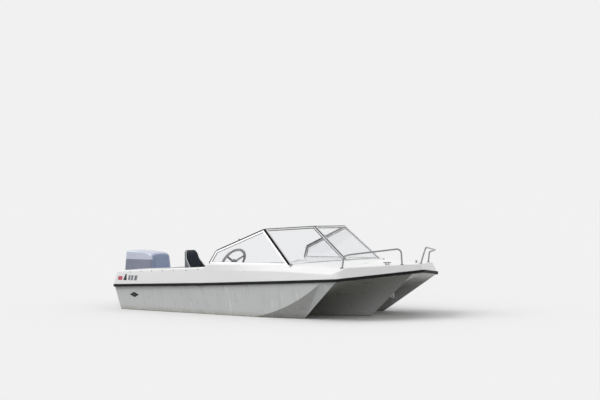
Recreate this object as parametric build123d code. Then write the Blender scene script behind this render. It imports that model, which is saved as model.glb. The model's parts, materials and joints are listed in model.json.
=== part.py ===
from build123d import *
import math
import os

# An open sports boat of the cathedral hull type, afloat, with one outboard motor.
# The hull has a central V and two side keels, with a tunnel on each side between them.
# A decked moulding with a raked windscreen closes it, and a black rub rail covers the joint.
#
# Millimetres. +X is forward, +Y is port, +Z is up. The origin is on the centreline, on the
# waterline, below the aft end of the rub rail.

FAR = 3000.0              # beyond the boat's sides, for shapes that only cut

# Hull
SEAT_GAP = 0.3            # clearance where one piece is seated on another
HULL_HALF_BEAM = 1034.0   # at the joint with the deck
KNUCKLE_X = 4790.0        # where the sides turn in to the bow
NOSE_X = 5386.0           # foremost point of the hull moulding
NOSE_HALF_WIDTH = 28.0
KNUCKLE_RADIUS = 150.0
NOSE_RADIUS = 60.0
STERN_RADIUS = 45.0
TRANSOM_X_AT_WATER = 83.0
TRANSOM_RAKE = 0.227      # forward run per unit of depth
LOFT_TOP = 720.0          # the hull is lofted up to here, then trimmed at the joint

# The joint between hull and deck, seen from the side: x, z
JOINT_LINE = [(-200, 358), (0, 366), (2060, 436), (3764, 509), (4790, 556), (5600, 673)]

# Rub rail
RAIL_DEPTH = 16.0         # how far it stands out from the hull
RAIL_BELOW = 20.0
RAIL_ABOVE = 20.0

# Lengthwise lines of the hull. Each lies in the plane y = y0 + lean * z. It runs straight from
# the transom, bends through a tangent arc, rises straight and then flares to the deck joint.
# y0, lean, z at transom, aft slope, x and z of a point on the rise, rise slope, tangent
# length, z where the flare starts, flare slope. The outer lines are set in from the side.
HULL_LINES = {
    "keel": (0, 0, -310, 0.0121, 4437, 0, 0.775, 450, 603, 0.20),
    "tunnel_inner": (480, 0.12, -205, 0.008, 3970, 260, 0.305, 700, 560, 0.305),
    "tunnel_outer": (HULL_HALF_BEAM - 314, 0.27, -205, 0.008, 4500, 420, 0.388, 800, 560, 0.388),
    "side_keel": (HULL_HALF_BEAM - 219, 0.3939, -260, 0.0121, 3943, 0, 0.657, 500, 560, 0.657),
    "chine": (HULL_HALF_BEAM - 79, 0.1421, -56, 0.004, 4431, 490, 0.600, 1030, 560, 0.600),
}

# Cockpit and motor well, cut into hull and deck
COCKPIT_AFT = 700.0
COCKPIT_FORE = 2750.0     # foot of the forward bulkhead
DASH_FACE_X = 2480.0      # the deck reaches aft to here
COCKPIT_HALF_WIDTH = 800.0
COCKPIT_RADIUS = 120.0
COCKPIT_FLOOR = -50.0
LINER_WALL = 10.0
DASH_PANEL = 8.0
WELL_FORE = 620.0
WELL_HALF_WIDTH = 430.0
WELL_RADIUS = 60.0
WELL_FLOOR = 160.0
TRANSOM_TOP = 225.0
TRANSOM_WALL = 52.0

# Deck sections: x, crease in from the side and its z, gunwale edge in from the side and its z,
# centre z
DECK_SECTIONS = [
    (-40, 26, 515, 42, 587, 597),
    (2060, 28, 605, 40, 679, 690),
    (2180, 28, 650, 40, 743, 660),
    (3764, 30, 655, 80, 743, 772),
    (4834, 24, 655, 150, 712, 757),
]
DECK_NOSE = (5388, 3, 731, 6, 733, 735)
CREASE_RADIUS = 70.0
EDGE_RADIUS = 26.0
NOSE_SOFTNESS = 0.02      # the radii shrink to this part of themselves at the nose
FASCIA_LEAN = 14.0        # degrees, where the deck's side turns round the bow
FASCIA_RISE = 560.0
FASCIA_START = 90.0       # the turn begins this far aft of the knuckle
DECK_STERN_SLOPE = 0.29   # the after face leans forward by this much per unit of height

# Windscreen
SCREEN_LEAN = 0.251       # inward lean of the side panes
SCREEN_TOE = 0.0234       # how much they draw in per unit of length, going forward
SCREEN_BASE_Y = HULL_HALF_BEAM - 61
SCREEN_BASE_Z = 738.0
SIDE_PANE_XZ = [(2175, 738), (2282, 922), (3190, 1227), (3797, 738)]
SCREEN_CENTRE_X, SCREEN_CENTRE_BASE_Z, SCREEN_CENTRE_TOP_Z = 3998.0, 752.0, 1244.0
GASKET_WIDTH = 12.0
GASKET_THICKNESS = 15.0
FRAME_WIDTH = 24.0
FRAME_THICKNESS = 22.0
PANE_THICKNESS = 5.0

# Bow rails, starboard side. The tube follows the bow's edge and turns aft at the knuckle.
RAIL_AFT_FOOT = (4743, 151 - HULL_HALF_BEAM)
RAIL_AFT_TOP = (4776, 158 - HULL_HALF_BEAM, 866)
RAIL_KNUCKLE = (4862, 122 - HULL_HALF_BEAM, 891)
RAIL_FORE_TOP = (5243, -253, 956)
RAIL_FORE_FOOT = (5200, -190)
TUBE_RADIUS = 11.0
RAIL_BENDS = (30.0, 58.0, 75.0)
RAIL_SUNK = 12.0          # how far the tube runs into its foot before the deck trims both
RAIL_FOOT_RADIUS = 26.0
RAIL_FOOT_THICKNESS = 6.0

# Fittings
CLEAT_AT = (5030, -300)
CLEAT_LENGTH = 110.0
CLEAT_BAR_RADIUS = 7.0
CLEAT_HEIGHT = 26.0
CLEAT_FOOT_SPACING = 36.0
CLEAT_BASE = (62.0, 24.0)
CLEAT_BASE_THICKNESS = 6.0
BOW_EYE_X = 4836.0
STERN_EYE_Y, STERN_EYE_Z = 640.0, 120.0
EYE_WIRE_RADIUS = 5.0
EYE_WIDTH = 40.0
EYE_REACH = 42.0
EYE_PAD_WIDTH = 26.0
EYE_PAD_MARGIN = 17.0

# Helm
SEAT_Y = 275 - COCKPIT_HALF_WIDTH    # seat and wheel are in line, this far from the wall
WHEEL_CENTRE = (2200, SEAT_Y, 746)
WHEEL_RIM_CENTRE_RADIUS = 206.0
WHEEL_RIM_RADIUS = 16.0
WHEEL_TILT = 33.0         # the rim's top leans forward by this
WHEEL_HUB_RADIUS = 46.0
WHEEL_HUB_DEPTH = 44.0
WHEEL_DISH = 20.0         # the hub's middle lies this far ahead of the rim
SPOKE_ANGLES = (90, 210, 330)
SPOKE_WIDTH, SPOKE_THICKNESS = 30.0, 7.0
COLUMN_RADIUS = 26.0
COLUMN_FLANGE = (42.0, 60.0)    # radius, depth
COLUMN_GAP = 47.0         # from the rim's plane to the end of the column
COLUMN_PIN_RADIUS = 9.0
COLUMN_PIN_LENGTH = 110.0
PANEL_Z = (460.0, 684.0)
PANEL_TO_STARBOARD, PANEL_TO_PORT = 150.0, 210.0
GAUGE_Z = 628.0
GAUGES = [(-95, 42), (95, 42), (170, 30)]    # y from the wheel's centre, radius
GAUGE_DEPTH = 12.0
THROTTLE_AT = (2080, 420)
THROTTLE_BOX = (120.0, 55.0, 130.0)
THROTTLE_ARM = (20.0, 10.0, 150.0)
THROTTLE_GRIP = (15.0, 60.0)    # radius, length

# Seats
SEAT_FOOT_X = 1350.0      # back of the helm seat's bucket, at its foot
SEAT_RAKE = 0.25          # the back leans aft by this much per unit of height
SEAT_TOP_Z = 905.0
SEAT_BASE_Z = 400.0
SEAT_SHELL = 10.0
SEAT_CUSHION = 60.0
SEAT_BACK_DROP = 15.0     # the back cushion ends this far below the shell's top
# Side outline of the bucket: x from the foot, height above the base
SEAT_SIDE = [(0, 0), (400, 0), (430, 50), (370, 130), (190, 185), (55, 250), (-62, 380), (-96, 505)]
# Front outline of the bucket: half width, height above the base
SEAT_FRONT = [(188, 0), (195, 150), (157, 250), (98, 505)]
SEAT_HIP_RADIUS, SEAT_TOP_RADIUS = 60.0, 55.0
PEDESTAL_RADIUS, PEDESTAL_FOOT_RADIUS = 38.0, 150.0
PASSENGER_SEAT_X = (1250, 1730)
PASSENGER_SEAT_Y = (COCKPIT_HALF_WIDTH - 470, COCKPIT_HALF_WIDTH - 50)
PASSENGER_SEAT_TOP_Z = 300.0
PASSENGER_CUSHION = 80.0
BENCH_DEPTH = 420.0
BENCH_HALF_WIDTH = 640.0
BENCH_TOP_Z = 230.0
BENCH_CUSHION = 90.0
BENCH_BACK_HEIGHT = 300.0

# Outboard motor
TILT_X, TILT_Z = -12.0, 272.0
TILT_TUBE_RADIUS = 16.0
TILT_BOSS_RADIUS = 30.0
BRACKET_INNER_Y = 98.0
BRACKET_PLATE = 14.0
SWIVEL_X = -135.0
SWIVEL_TOP, SWIVEL_BOTTOM = 296.0, -40.0
SWIVEL_TUBE_RADIUS = 34.0
SWIVEL_PIN_RADIUS = 17.0
PIN_CLEARANCE = 0.1
CYLINDER_FOOT = (60.0, -50.0)
CYLINDER_EYE = (-40.0, 240.0)
CYLINDER_RADIUS = 20.0
CYLINDER_PIN_RADIUS = 7.0
ROD_RADIUS = 10.0
ROD_EYE_CLEARANCE = 0.4   # beyond what the eye drifts from its pin as the motor tilts
ROD_EYE_WALL = 4.5
TILT_TRAVEL = 65.0        # degrees
LEG_BOTTOM = -277.0
PLATE_THICKNESS = 8.0
PROP_AXIS_Z = -470.0
PROP_X = -600.0
PROP_SHAFT_RADIUS = 16.0
TORPEDO_RADIUS = 55.0
PROP_HUB_RADIUS = 47.0
COWL_FRONT, COWL_BACK = -35.0, -807.0
COWL_WIDTH = 418.0
COWL_BOTTOM = 352.0
COWL_SPLIT = 470.0
COWL_TOP = 875.0
COWL_CREST_X = -580.0     # where the top is highest
COWL_CROWN_RADIUS = 2600.0
COWL_CROWN_DROP = 24.0    # from the middle of the top to its side edges
COWL_TUMBLEHOME = 6.0
COWL_EDGE_RADIUS = 20.0
COWL_CORNER_RADIUS = 70.0
COWL_WALL = 5.0
POWERHEAD_X = (-560.0, -150.0)
POWERHEAD_HALF_WIDTH = 140.0
POWERHEAD_TOP = 762.0
TRAY_FLOOR = 12.0

parts = {}


def keep(name, *solids):
    """Stores a solid, or several gathered, as the named node."""
    parts[name] = solids[0] if len(solids) == 1 else Compound(children=list(solids))


def prism_y(points, half_width=FAR):
    """A prism across the boat with the given x, z outline."""
    face = make_face(Polyline(*[(x, 0, z) for x, z in points], close=True))
    return extrude(face, half_width, dir=(0, 1, 0), both=True)


def block(x0, x1, y0, y1, z0, z1):
    """A plain box between two corners."""
    return Pos((x0 + x1) / 2, (y0 + y1) / 2, (z0 + z1) / 2) * Box(x1 - x0, y1 - y0, z1 - z0)


def below_joint(offset=0.0):
    """Everything below the hull's joint line, moved up by the offset."""
    line = [(x, z + offset) for x, z in JOINT_LINE]
    return prism_y(line + [(JOINT_LINE[-1][0], -FAR), (JOINT_LINE[0][0], -FAR)])


def plan_outline():
    """The hull's outline seen from above, at the joint with the deck."""
    side = HULL_HALF_BEAM
    corners = [(0, -side), (KNUCKLE_X, -side), (NOSE_X, -NOSE_HALF_WIDTH),
               (NOSE_X, NOSE_HALF_WIDTH), (KNUCKLE_X, side), (0, side)]
    face = make_face(Polyline(*corners, close=True))
    for x, radius in ((KNUCKLE_X, KNUCKLE_RADIUS), (NOSE_X, NOSE_RADIUS), (0, STERN_RADIUS)):
        face = fillet([v for v in face.vertices() if abs(v.X - x) < 1], radius)
    return face


def plan_prism(grow, z0, z1):
    """The outline, grown by a distance, as a prism between two heights."""
    face = offset(plan_outline(), grow) if grow else plan_outline()
    return Pos(0, 0, z0) * extrude(face, z1 - z0)


def transom_x(z):
    return TRANSOM_X_AT_WATER - TRANSOM_RAKE * z


def hull_wire(line, side=1):
    """One lengthwise line of the hull, closed along the top and down the transom."""
    y0, lean, z_aft, aft_slope, rise_x, rise_z, rise, tangent, flare_z, flare = line

    def point(x, z):
        return Vector(x, side * (y0 + lean * z), z)

    corner_x = (z_aft - rise_z + rise * rise_x) / (rise - aft_slope)
    corner_z = z_aft + aft_slope * corner_x
    flat, steep = math.atan(aft_slope), math.atan(rise)
    bend_start = (corner_x - tangent * math.cos(flat), corner_z - tangent * math.sin(flat))
    bend_end = (corner_x + tangent * math.cos(steep), corner_z + tangent * math.sin(steep))
    radius = tangent / math.tan((steep - flat) / 2)
    middle = (flat + steep) / 2
    centre = (bend_start[0] - radius * math.sin(flat), bend_start[1] + radius * math.cos(flat))
    bend_mid = (centre[0] + radius * math.sin(middle), centre[1] - radius * math.cos(middle))
    flare_start = (rise_x + (flare_z - rise_z) / rise, flare_z)
    top_fore = (flare_start[0] + (LOFT_TOP - flare_z) / flare, LOFT_TOP)
    transom_foot = (transom_x(z_aft), z_aft + aft_slope * transom_x(z_aft))
    top_aft = (transom_x(LOFT_TOP), LOFT_TOP)
    return Wire([
        Line(point(*transom_foot), point(*bend_start)),
        ThreePointArc(point(*bend_start), point(*bend_mid), point(*bend_end)),
        Line(point(*bend_end), point(*flare_start)),
        Line(point(*flare_start), point(*top_fore)),
        Line(point(*top_fore), point(*top_aft)),
        Line(point(*top_aft), point(*transom_foot)),
    ])


def hull_form():
    """The outside of the hull, up to the joint with the deck."""
    names = list(HULL_LINES)
    wires = [hull_wire(HULL_LINES[n], -1) for n in reversed(names[1:])]
    wires += [hull_wire(HULL_LINES[n]) for n in names]
    form = Solid.make_loft(wires, ruled=True)
    return form & plan_prism(0, -600, 900) & below_joint()


def cockpit_cavity(inset=0.0):
    """The space for people, with the foot space that runs forward under the dash."""
    half = COCKPIT_HALF_WIDTH - inset
    plan = Rectangle(COCKPIT_FORE - COCKPIT_AFT - 2 * inset, 2 * half)
    plan = fillet(plan.vertices(), COCKPIT_RADIUS - inset)
    return Pos((COCKPIT_FORE + COCKPIT_AFT) / 2, 0, COCKPIT_FLOOR + inset) * extrude(plan, FAR)


def cockpit_mouth():
    """The opening in the deck above the cockpit."""
    plan = Rectangle(DASH_FACE_X - COCKPIT_AFT, 2 * COCKPIT_HALF_WIDTH)
    plan = fillet(plan.vertices(), COCKPIT_RADIUS)
    return Pos((DASH_FACE_X + COCKPIT_AFT) / 2, 0, 0) * extrude(plan, FAR)


def motor_well():
    """The tray ahead of the transom, and the notch where the motor hangs."""
    wall_front = transom_x(TRANSOM_TOP) + TRANSOM_WALL
    tray = block(wall_front, WELL_FORE, -WELL_HALF_WIDTH, WELL_HALF_WIDTH, WELL_FLOOR, FAR)
    upright = tray.edges().filter_by(Axis.Z)
    tray = fillet([e for e in upright if e.center().X > wall_front + 1], WELL_RADIUS)
    inside = (wall_front + WELL_FORE) / 2
    return tray + block(-FAR, inside, -WELL_HALF_WIDTH, WELL_HALF_WIDTH, TRANSOM_TOP, FAR)


def make_hull():
    hull = hull_form() - cockpit_cavity() - motor_well()
    keep("hull", hull)


def deck_section(x, crease_in, crease_z, edge_in, edge_z, centre_z, half=HULL_HALF_BEAM, softness=1.0):
    """One cross-section of the deck moulding, with its crease and gunwale edge rounded."""
    joint_z = joint_height(x)
    crease_y, edge_y = half - crease_in, half - edge_in
    face = make_face(Wire([
        Line((half, joint_z), (crease_y, crease_z)),
        Line((crease_y, crease_z), (edge_y, edge_z)),
        ThreePointArc((edge_y, edge_z), (0, centre_z), (-edge_y, edge_z)),
        Line((-edge_y, edge_z), (-crease_y, crease_z)),
        Line((-crease_y, crease_z), (-half, joint_z)),
        Line((-half, joint_z), (half, joint_z)),
    ]))
    for y, radius in ((crease_y, CREASE_RADIUS), (edge_y, EDGE_RADIUS)):
        face = fillet([v for v in face.vertices() if abs(abs(v.X) - y) < 0.01], radius * softness)
    station = Plane((x, 0, 0), x_dir=(0, 1, 0), z_dir=(1, 0, 0))
    return (station * face).face().outer_wire()


def joint_height(x):
    """Height of the hull and deck joint at a station."""
    for (x0, z0), (x1, z1) in zip(JOINT_LINE, JOINT_LINE[1:]):
        if x0 <= x <= x1:
            return z0 + (z1 - z0) * (x - x0) / (x1 - x0)
    raise ValueError(x)


def bow_fascia():
    """The plan outline on the joint's slope at the bow, drawn in as it rises."""
    (x0, z0), (x1, z1) = JOINT_LINE[-2:]
    slope = math.atan2(z1 - z0, x1 - x0)
    joint = Plane((x0, 0, z0), x_dir=(math.cos(slope), 0, math.sin(slope)),
                  z_dir=(-math.sin(slope), 0, math.cos(slope)))

    def along(x):
        return (x - x0) / math.cos(slope)

    nose, side, tip = along(NOSE_X), HULL_HALF_BEAM, NOSE_HALF_WIDTH
    outline = [(along(0), -side), (0, -side), (nose, -tip), (nose, tip), (0, side), (along(0), side)]
    face = make_face(Polyline(*outline, close=True))
    for x, radius in ((0, KNUCKLE_RADIUS), (nose, NOSE_RADIUS)):
        face = fillet([v for v in face.vertices() if abs(v.X - x) < 1], radius)
    return extrude(joint * face, FASCIA_RISE, taper=FASCIA_LEAN) + extrude(joint * face, -FASCIA_RISE)


def deck_form():
    """The deck moulding before its openings are cut."""
    sections = [deck_section(*row) for row in DECK_SECTIONS]
    tip = deck_section(*DECK_NOSE, half=NOSE_HALF_WIDTH, softness=NOSE_SOFTNESS)
    form = Solid.make_loft(sections, ruled=True) + Solid.make_loft([sections[-1], tip], ruled=True)
    ahead = block(KNUCKLE_X - FASCIA_START, 2 * FAR, -FAR, FAR, 0, FAR)
    form = (form - ahead) + (form & ahead & bow_fascia())
    foot, rise = joint_height(0), 400
    stern = prism_y([(-rise, foot), (0, foot), (DECK_STERN_SLOPE * rise, foot + rise), (-rise, foot + rise)])
    return (form & plan_prism(0, 300, 900)) - stern - below_joint(SEAT_GAP)


def make_deck():
    deck = deck_form() - cockpit_mouth() - motor_well()
    keep("deck", deck)
    return deck


def side_pane_y(x, z):
    """Distance of the side panes from the centre plane."""
    return SCREEN_BASE_Y - SCREEN_TOE * (x - SIDE_PANE_XZ[0][0]) - SCREEN_LEAN * (z - SCREEN_BASE_Z)


def at_height(start, end, z):
    """The point of a sloping line at the given height."""
    start, end = Vector(*start), Vector(*end)
    return start + (end - start) * ((z - start.Z) / (end.Z - start.Z))


def screen_panes():
    """Corner points of the starboard side pane and the starboard front pane."""
    aft, kink, top, base = [Vector(x, -side_pane_y(x, z), z) for x, z in SIDE_PANE_XZ]
    drop = GASKET_WIDTH + 2
    centre_base = Vector(SCREEN_CENTRE_X, 0, SCREEN_CENTRE_BASE_Z)
    normal = (top - base).cross(centre_base - base)
    rise = SCREEN_CENTRE_TOP_Z - SCREEN_CENTRE_BASE_Z
    centre_top = centre_base + Vector(-rise * normal.Z / normal.X, 0, rise)
    low_aft = at_height(kink, aft, aft.Z - drop)
    low_base = at_height(top, base, base.Z - drop)
    low_centre = at_height(centre_top, centre_base, centre_base.Z - drop)
    return [low_aft, kink, top, low_base], [low_base, top, centre_top, low_centre]


def pane_layers(corners):
    """Gasket, frame and glass of one pane, from its outline inward."""
    plane = Plane(corners[0], corners[-1] - corners[0],
                  (corners[-1] - corners[0]).cross(corners[1] - corners[0]))
    outline = make_face(Polyline(*[plane.to_local_coords(c) for c in corners], close=True))

    def inset(distance):
        return offset(outline, -distance, kind=Kind.INTERSECTION)

    def layer(face, thickness):
        return extrude(plane * face, thickness / 2, dir=plane.z_dir, both=True)

    edge = GASKET_WIDTH + SEAT_GAP
    gasket = layer(outline - inset(GASKET_WIDTH), GASKET_THICKNESS)
    frame = layer(inset(edge) - inset(edge + FRAME_WIDTH), FRAME_THICKNESS)
    glass = layer(inset(edge + FRAME_WIDTH + SEAT_GAP), PANE_THICKNESS)
    return gasket, frame, glass


def make_windscreen(deck_top):
    """Four framed panes, with rubber along the top and between the frames."""
    seat = Pos(0, 0, SEAT_GAP) * deck_top
    gasket = None
    for place, corners in zip(("side", "front"), screen_panes()):
        rubber, frame, glass = pane_layers(corners)
        for side, turn in (("starboard", 1), ("port", -1)):
            ring, bars, pane = [s if turn == 1 else mirror(s, about=Plane.XZ)
                                for s in (rubber, frame, glass)]
            keep(f"screen_frame_{place}_{side}", bars - seat)
            keep(f"screen_pane_{place}_{side}", pane - seat)
            gasket = ring if gasket is None else gasket + ring
    keep("screen_gasket", gasket - seat)


def tube_along(points, bends, radius):
    """A round bar along straight runs joined by tangent arcs."""
    path = FilletPolyline(*points, radius=list(bends))
    start = path @ 0
    section = Plane(start, z_dir=path % 0) * Circle(radius)
    return sweep(section, path=path)


def height_on(surface, x, y):
    """Height of the top of a surface at a point."""
    points = surface.find_intersection_points(Axis((x, y, 0), (0, 0, 1)))
    return max(point.Z for point, normal in points)


def round_foot(x, y, z, radius, height):
    """A round foot on the surface, with the part below it that the surface cuts off."""
    down = (Align.CENTER, Align.CENTER, Align.MAX)
    return Pos(x, y, z + height) * Cylinder(radius, 4 * height, align=down)


def make_bow_rails(deck_top):
    """A bent tube with a foot at each end, on each side of the foredeck."""
    seat = Pos(0, 0, SEAT_GAP) * deck_top
    ends = [(x, y, height_on(deck_top, x, y)) for x, y in (RAIL_AFT_FOOT, RAIL_FORE_FOOT)]
    aft, fore = [(x, y, z - RAIL_SUNK) for x, y, z in ends]
    rail = tube_along([aft, RAIL_AFT_TOP, RAIL_KNUCKLE, RAIL_FORE_TOP, fore], RAIL_BENDS, TUBE_RADIUS)
    for x, y, z in ends:
        rail = rail + round_foot(x, y, z, RAIL_FOOT_RADIUS, RAIL_FOOT_THICKNESS)
    rail = rail - seat
    keep("bow_rail_starboard", rail)
    keep("bow_rail_port", mirror(rail, about=Plane.XZ))


def make_cleats(deck_top):
    """A two-horned cleat on each side of the foredeck."""
    seat = Pos(0, 0, SEAT_GAP) * deck_top
    x, y = CLEAT_AT
    turn = math.degrees(math.atan2(NOSE_X - KNUCKLE_X, HULL_HALF_BEAM - NOSE_HALF_WIDTH))
    z = height_on(deck_top, x, y)
    bar = Rot(0, 90, 0) * Cylinder(CLEAT_BAR_RADIUS, CLEAT_LENGTH)
    bar = fillet(bar.edges(), 0.7 * CLEAT_BAR_RADIUS)
    down = (Align.CENTER, Align.CENTER, Align.MAX)
    feet = [Pos(dx, 0, 0) * Cylinder(CLEAT_BAR_RADIUS, CLEAT_HEIGHT, align=down)
            for dx in (-CLEAT_FOOT_SPACING / 2, CLEAT_FOOT_SPACING / 2)]
    base = Pos(0, 0, CLEAT_BASE_THICKNESS - CLEAT_HEIGHT) * Box(*CLEAT_BASE, CLEAT_HEIGHT, align=down)
    cleat = Pos(x, y, z + CLEAT_HEIGHT) * Rot(0, 0, 90 - turn) * (bar + feet + base)
    cleat = cleat - seat
    keep("bow_cleat_starboard", cleat)
    keep("bow_cleat_port", mirror(cleat, about=Plane.XZ))


def eye_bolt():
    """A U of round wire that stands out along +X from the origin, on a pad."""
    half = EYE_WIDTH / 2
    points = [(2, 0, -half), (EYE_REACH, 0, -half), (EYE_REACH, 0, half), (2, 0, half)]
    wire = tube_along(points, [half - 0.1, half - 0.1], EYE_WIRE_RADIUS)
    return wire + Pos(-4, 0, 0) * Box(20, EYE_PAD_WIDTH, EYE_WIDTH + 2 * EYE_PAD_MARGIN)


def make_eyes(hull_outside):
    rise_x, rise_z, rise = HULL_LINES["keel"][4:7]
    stem_z = rise_z + rise * (BOW_EYE_X - rise_x)
    bow = Pos(BOW_EYE_X, 0, stem_z) * Rot(0, 90 - math.degrees(math.atan(rise)), 0) * eye_bolt()
    keep("bow_eye", bow - hull_outside)
    rake = math.degrees(math.atan(TRANSOM_RAKE))
    for side, y in (("starboard", -STERN_EYE_Y), ("port", STERN_EYE_Y)):
        place = Pos(transom_x(STERN_EYE_Z), y, STERN_EYE_Z) * Rot(0, 180 - rake, 0)
        keep(f"stern_eye_{side}", place * eye_bolt() - hull_outside)


def wheel_frame():
    """A plane on the steering wheel's hub, its normal toward the helmsman."""
    tilt = math.radians(WHEEL_TILT)
    return Plane(Vector(*WHEEL_CENTRE), x_dir=(0, 1, 0), z_dir=(-math.cos(tilt), 0, math.sin(tilt)))


def make_wheel(frame):
    """A thick rim on three flat spokes, with the pin that turns in the column."""
    rim = Torus(WHEEL_RIM_CENTRE_RADIUS, WHEEL_RIM_RADIUS)
    hub = Pos(0, 0, -WHEEL_DISH) * Cylinder(WHEEL_HUB_RADIUS, WHEEL_HUB_DEPTH)
    hub = fillet(hub.edges(), 8)
    length = WHEEL_RIM_CENTRE_RADIUS - 0.6 * WHEEL_HUB_RADIUS
    middle = (WHEEL_RIM_CENTRE_RADIUS + 0.6 * WHEEL_HUB_RADIUS) / 2
    spoke = Pos(middle, 0, -0.4 * WHEEL_DISH) * Rot(0, -4, 0) * Box(length, SPOKE_WIDTH, SPOKE_THICKNESS)
    spokes = [Rot(0, 0, angle) * spoke for angle in SPOKE_ANGLES]
    pin = Pos(0, 0, -WHEEL_DISH) * Cylinder(COLUMN_PIN_RADIUS, WHEEL_HUB_DEPTH / 2 + COLUMN_PIN_LENGTH,
                                            align=(Align.CENTER, Align.CENTER, Align.MAX))
    keep("steering_wheel", frame * (rim + hub + spokes + pin))


def make_column(frame):
    """The round column between the wheel and the dash, flanged at the dash and bored for the pin."""
    down = (Align.CENTER, Align.CENTER, Align.MAX)
    drop = (DASH_FACE_X - WHEEL_CENTRE[0]) / math.cos(math.radians(WHEEL_TILT))
    radius, depth = COLUMN_FLANGE
    column = Pos(0, 0, -COLUMN_GAP) * Cylinder(COLUMN_RADIUS, drop, align=down)
    column = column + Pos(0, 0, depth / 2 - drop) * Cylinder(radius, depth)
    bore = Pos(0, 0, -COLUMN_GAP) * Cylinder(COLUMN_PIN_RADIUS + PIN_CLEARANCE, 2 * COLUMN_PIN_LENGTH)
    ahead = block(DASH_FACE_X - DASH_PANEL - SEAT_GAP, 2 * FAR, -FAR, FAR, -FAR, FAR)
    keep("steering_column", frame * (column - bore) - ahead)


def make_dash_panel():
    """The instrument panel, with its raised gauges."""
    helm_y = WHEEL_CENTRE[1]
    panel = block(DASH_FACE_X - DASH_PANEL, DASH_FACE_X - SEAT_GAP, helm_y - PANEL_TO_STARBOARD,
                  helm_y + PANEL_TO_PORT, *PANEL_Z)
    panel = fillet(panel.edges().filter_by(Axis.X), 20)
    for y, radius in GAUGES:
        gauge = Rot(0, 90, 0) * Cylinder(radius, GAUGE_DEPTH)
        panel = panel + Pos(DASH_FACE_X - DASH_PANEL - GAUGE_DEPTH / 4, helm_y + y, GAUGE_Z) * gauge
    keep("dash_panel", panel)


def make_throttle():
    """The control box on the side wall, with its boss, arm and grip."""
    x, z = THROTTLE_AT
    wall = -COCKPIT_HALF_WIDTH + SEAT_GAP * 2 + LINER_WALL
    depth = THROTTLE_BOX[1]
    box = Pos(x, wall + depth / 2, z) * Box(*THROTTLE_BOX)
    box = fillet(box.edges().filter_by(Axis.Y), 18)
    boss = Pos(x, wall + depth + 7, z) * Rot(90, 0, 0) * Cylinder(22, 18)
    arm = Pos(x + 14, wall + depth + 9, z + 60) * Rot(0, 12, 0) * Box(*THROTTLE_ARM)
    grip = Pos(x + 30, wall + depth + 25, z + 135) * Rot(90, 0, 0) * Cylinder(*THROTTLE_GRIP)
    keep("throttle_control", box + boss + arm + grip)


def make_helm():
    frame = wheel_frame()
    make_wheel(frame)
    make_column(frame)
    make_dash_panel()
    make_throttle()


def make_rub_rail():
    ring = plan_prism(RAIL_DEPTH, 0, LOFT_TOP) - plan_prism(SEAT_GAP, -FAR, FAR)
    band = below_joint(RAIL_ABOVE) - below_joint(-RAIL_BELOW)
    notch = block(-FAR, WELL_FORE, -WELL_HALF_WIDTH, WELL_HALF_WIDTH, 0, FAR)
    keep("rub_rail", (ring & band) - notch)


def make_liner():
    tub = cockpit_cavity(SEAT_GAP) - cockpit_cavity(SEAT_GAP + LINER_WALL)
    keep("cockpit_liner", tub & below_joint(-SEAT_GAP))


def seat_side(points, half_width):
    """A prism across the helm seat, from an outline of x from its foot and height above its base."""
    outline = [(SEAT_FOOT_X + x, z + SEAT_BASE_Z) for x, z in points]
    return Pos(0, SEAT_Y, 0) * prism_y(outline, half_width)


def seat_front(inset=0.0):
    """A prism along the boat with the bucket's front outline, drawn in by the inset."""
    points = [(-y, z) for y, z in SEAT_FRONT] + [(y, z) for y, z in reversed(SEAT_FRONT)]
    face = make_face(Polyline(*points, close=True))
    hip_z, top_z = SEAT_FRONT[1][1], SEAT_FRONT[-1][1]
    for z, radius in ((hip_z, SEAT_HIP_RADIUS), (top_z, SEAT_TOP_RADIUS)):
        face = fillet([v for v in face.vertices() if abs(v.Y - z) < 1], radius)
    if inset:
        face = offset(face, -inset)
    front = Plane((0, SEAT_Y, SEAT_BASE_Z), x_dir=(0, 1, 0), z_dir=(1, 0, 0))
    return extrude(front * face, FAR)


def seat_back_x(height):
    """The x, from the bucket's foot, of the back's rear surface at a height."""
    return -SEAT_RAKE * height


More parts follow.
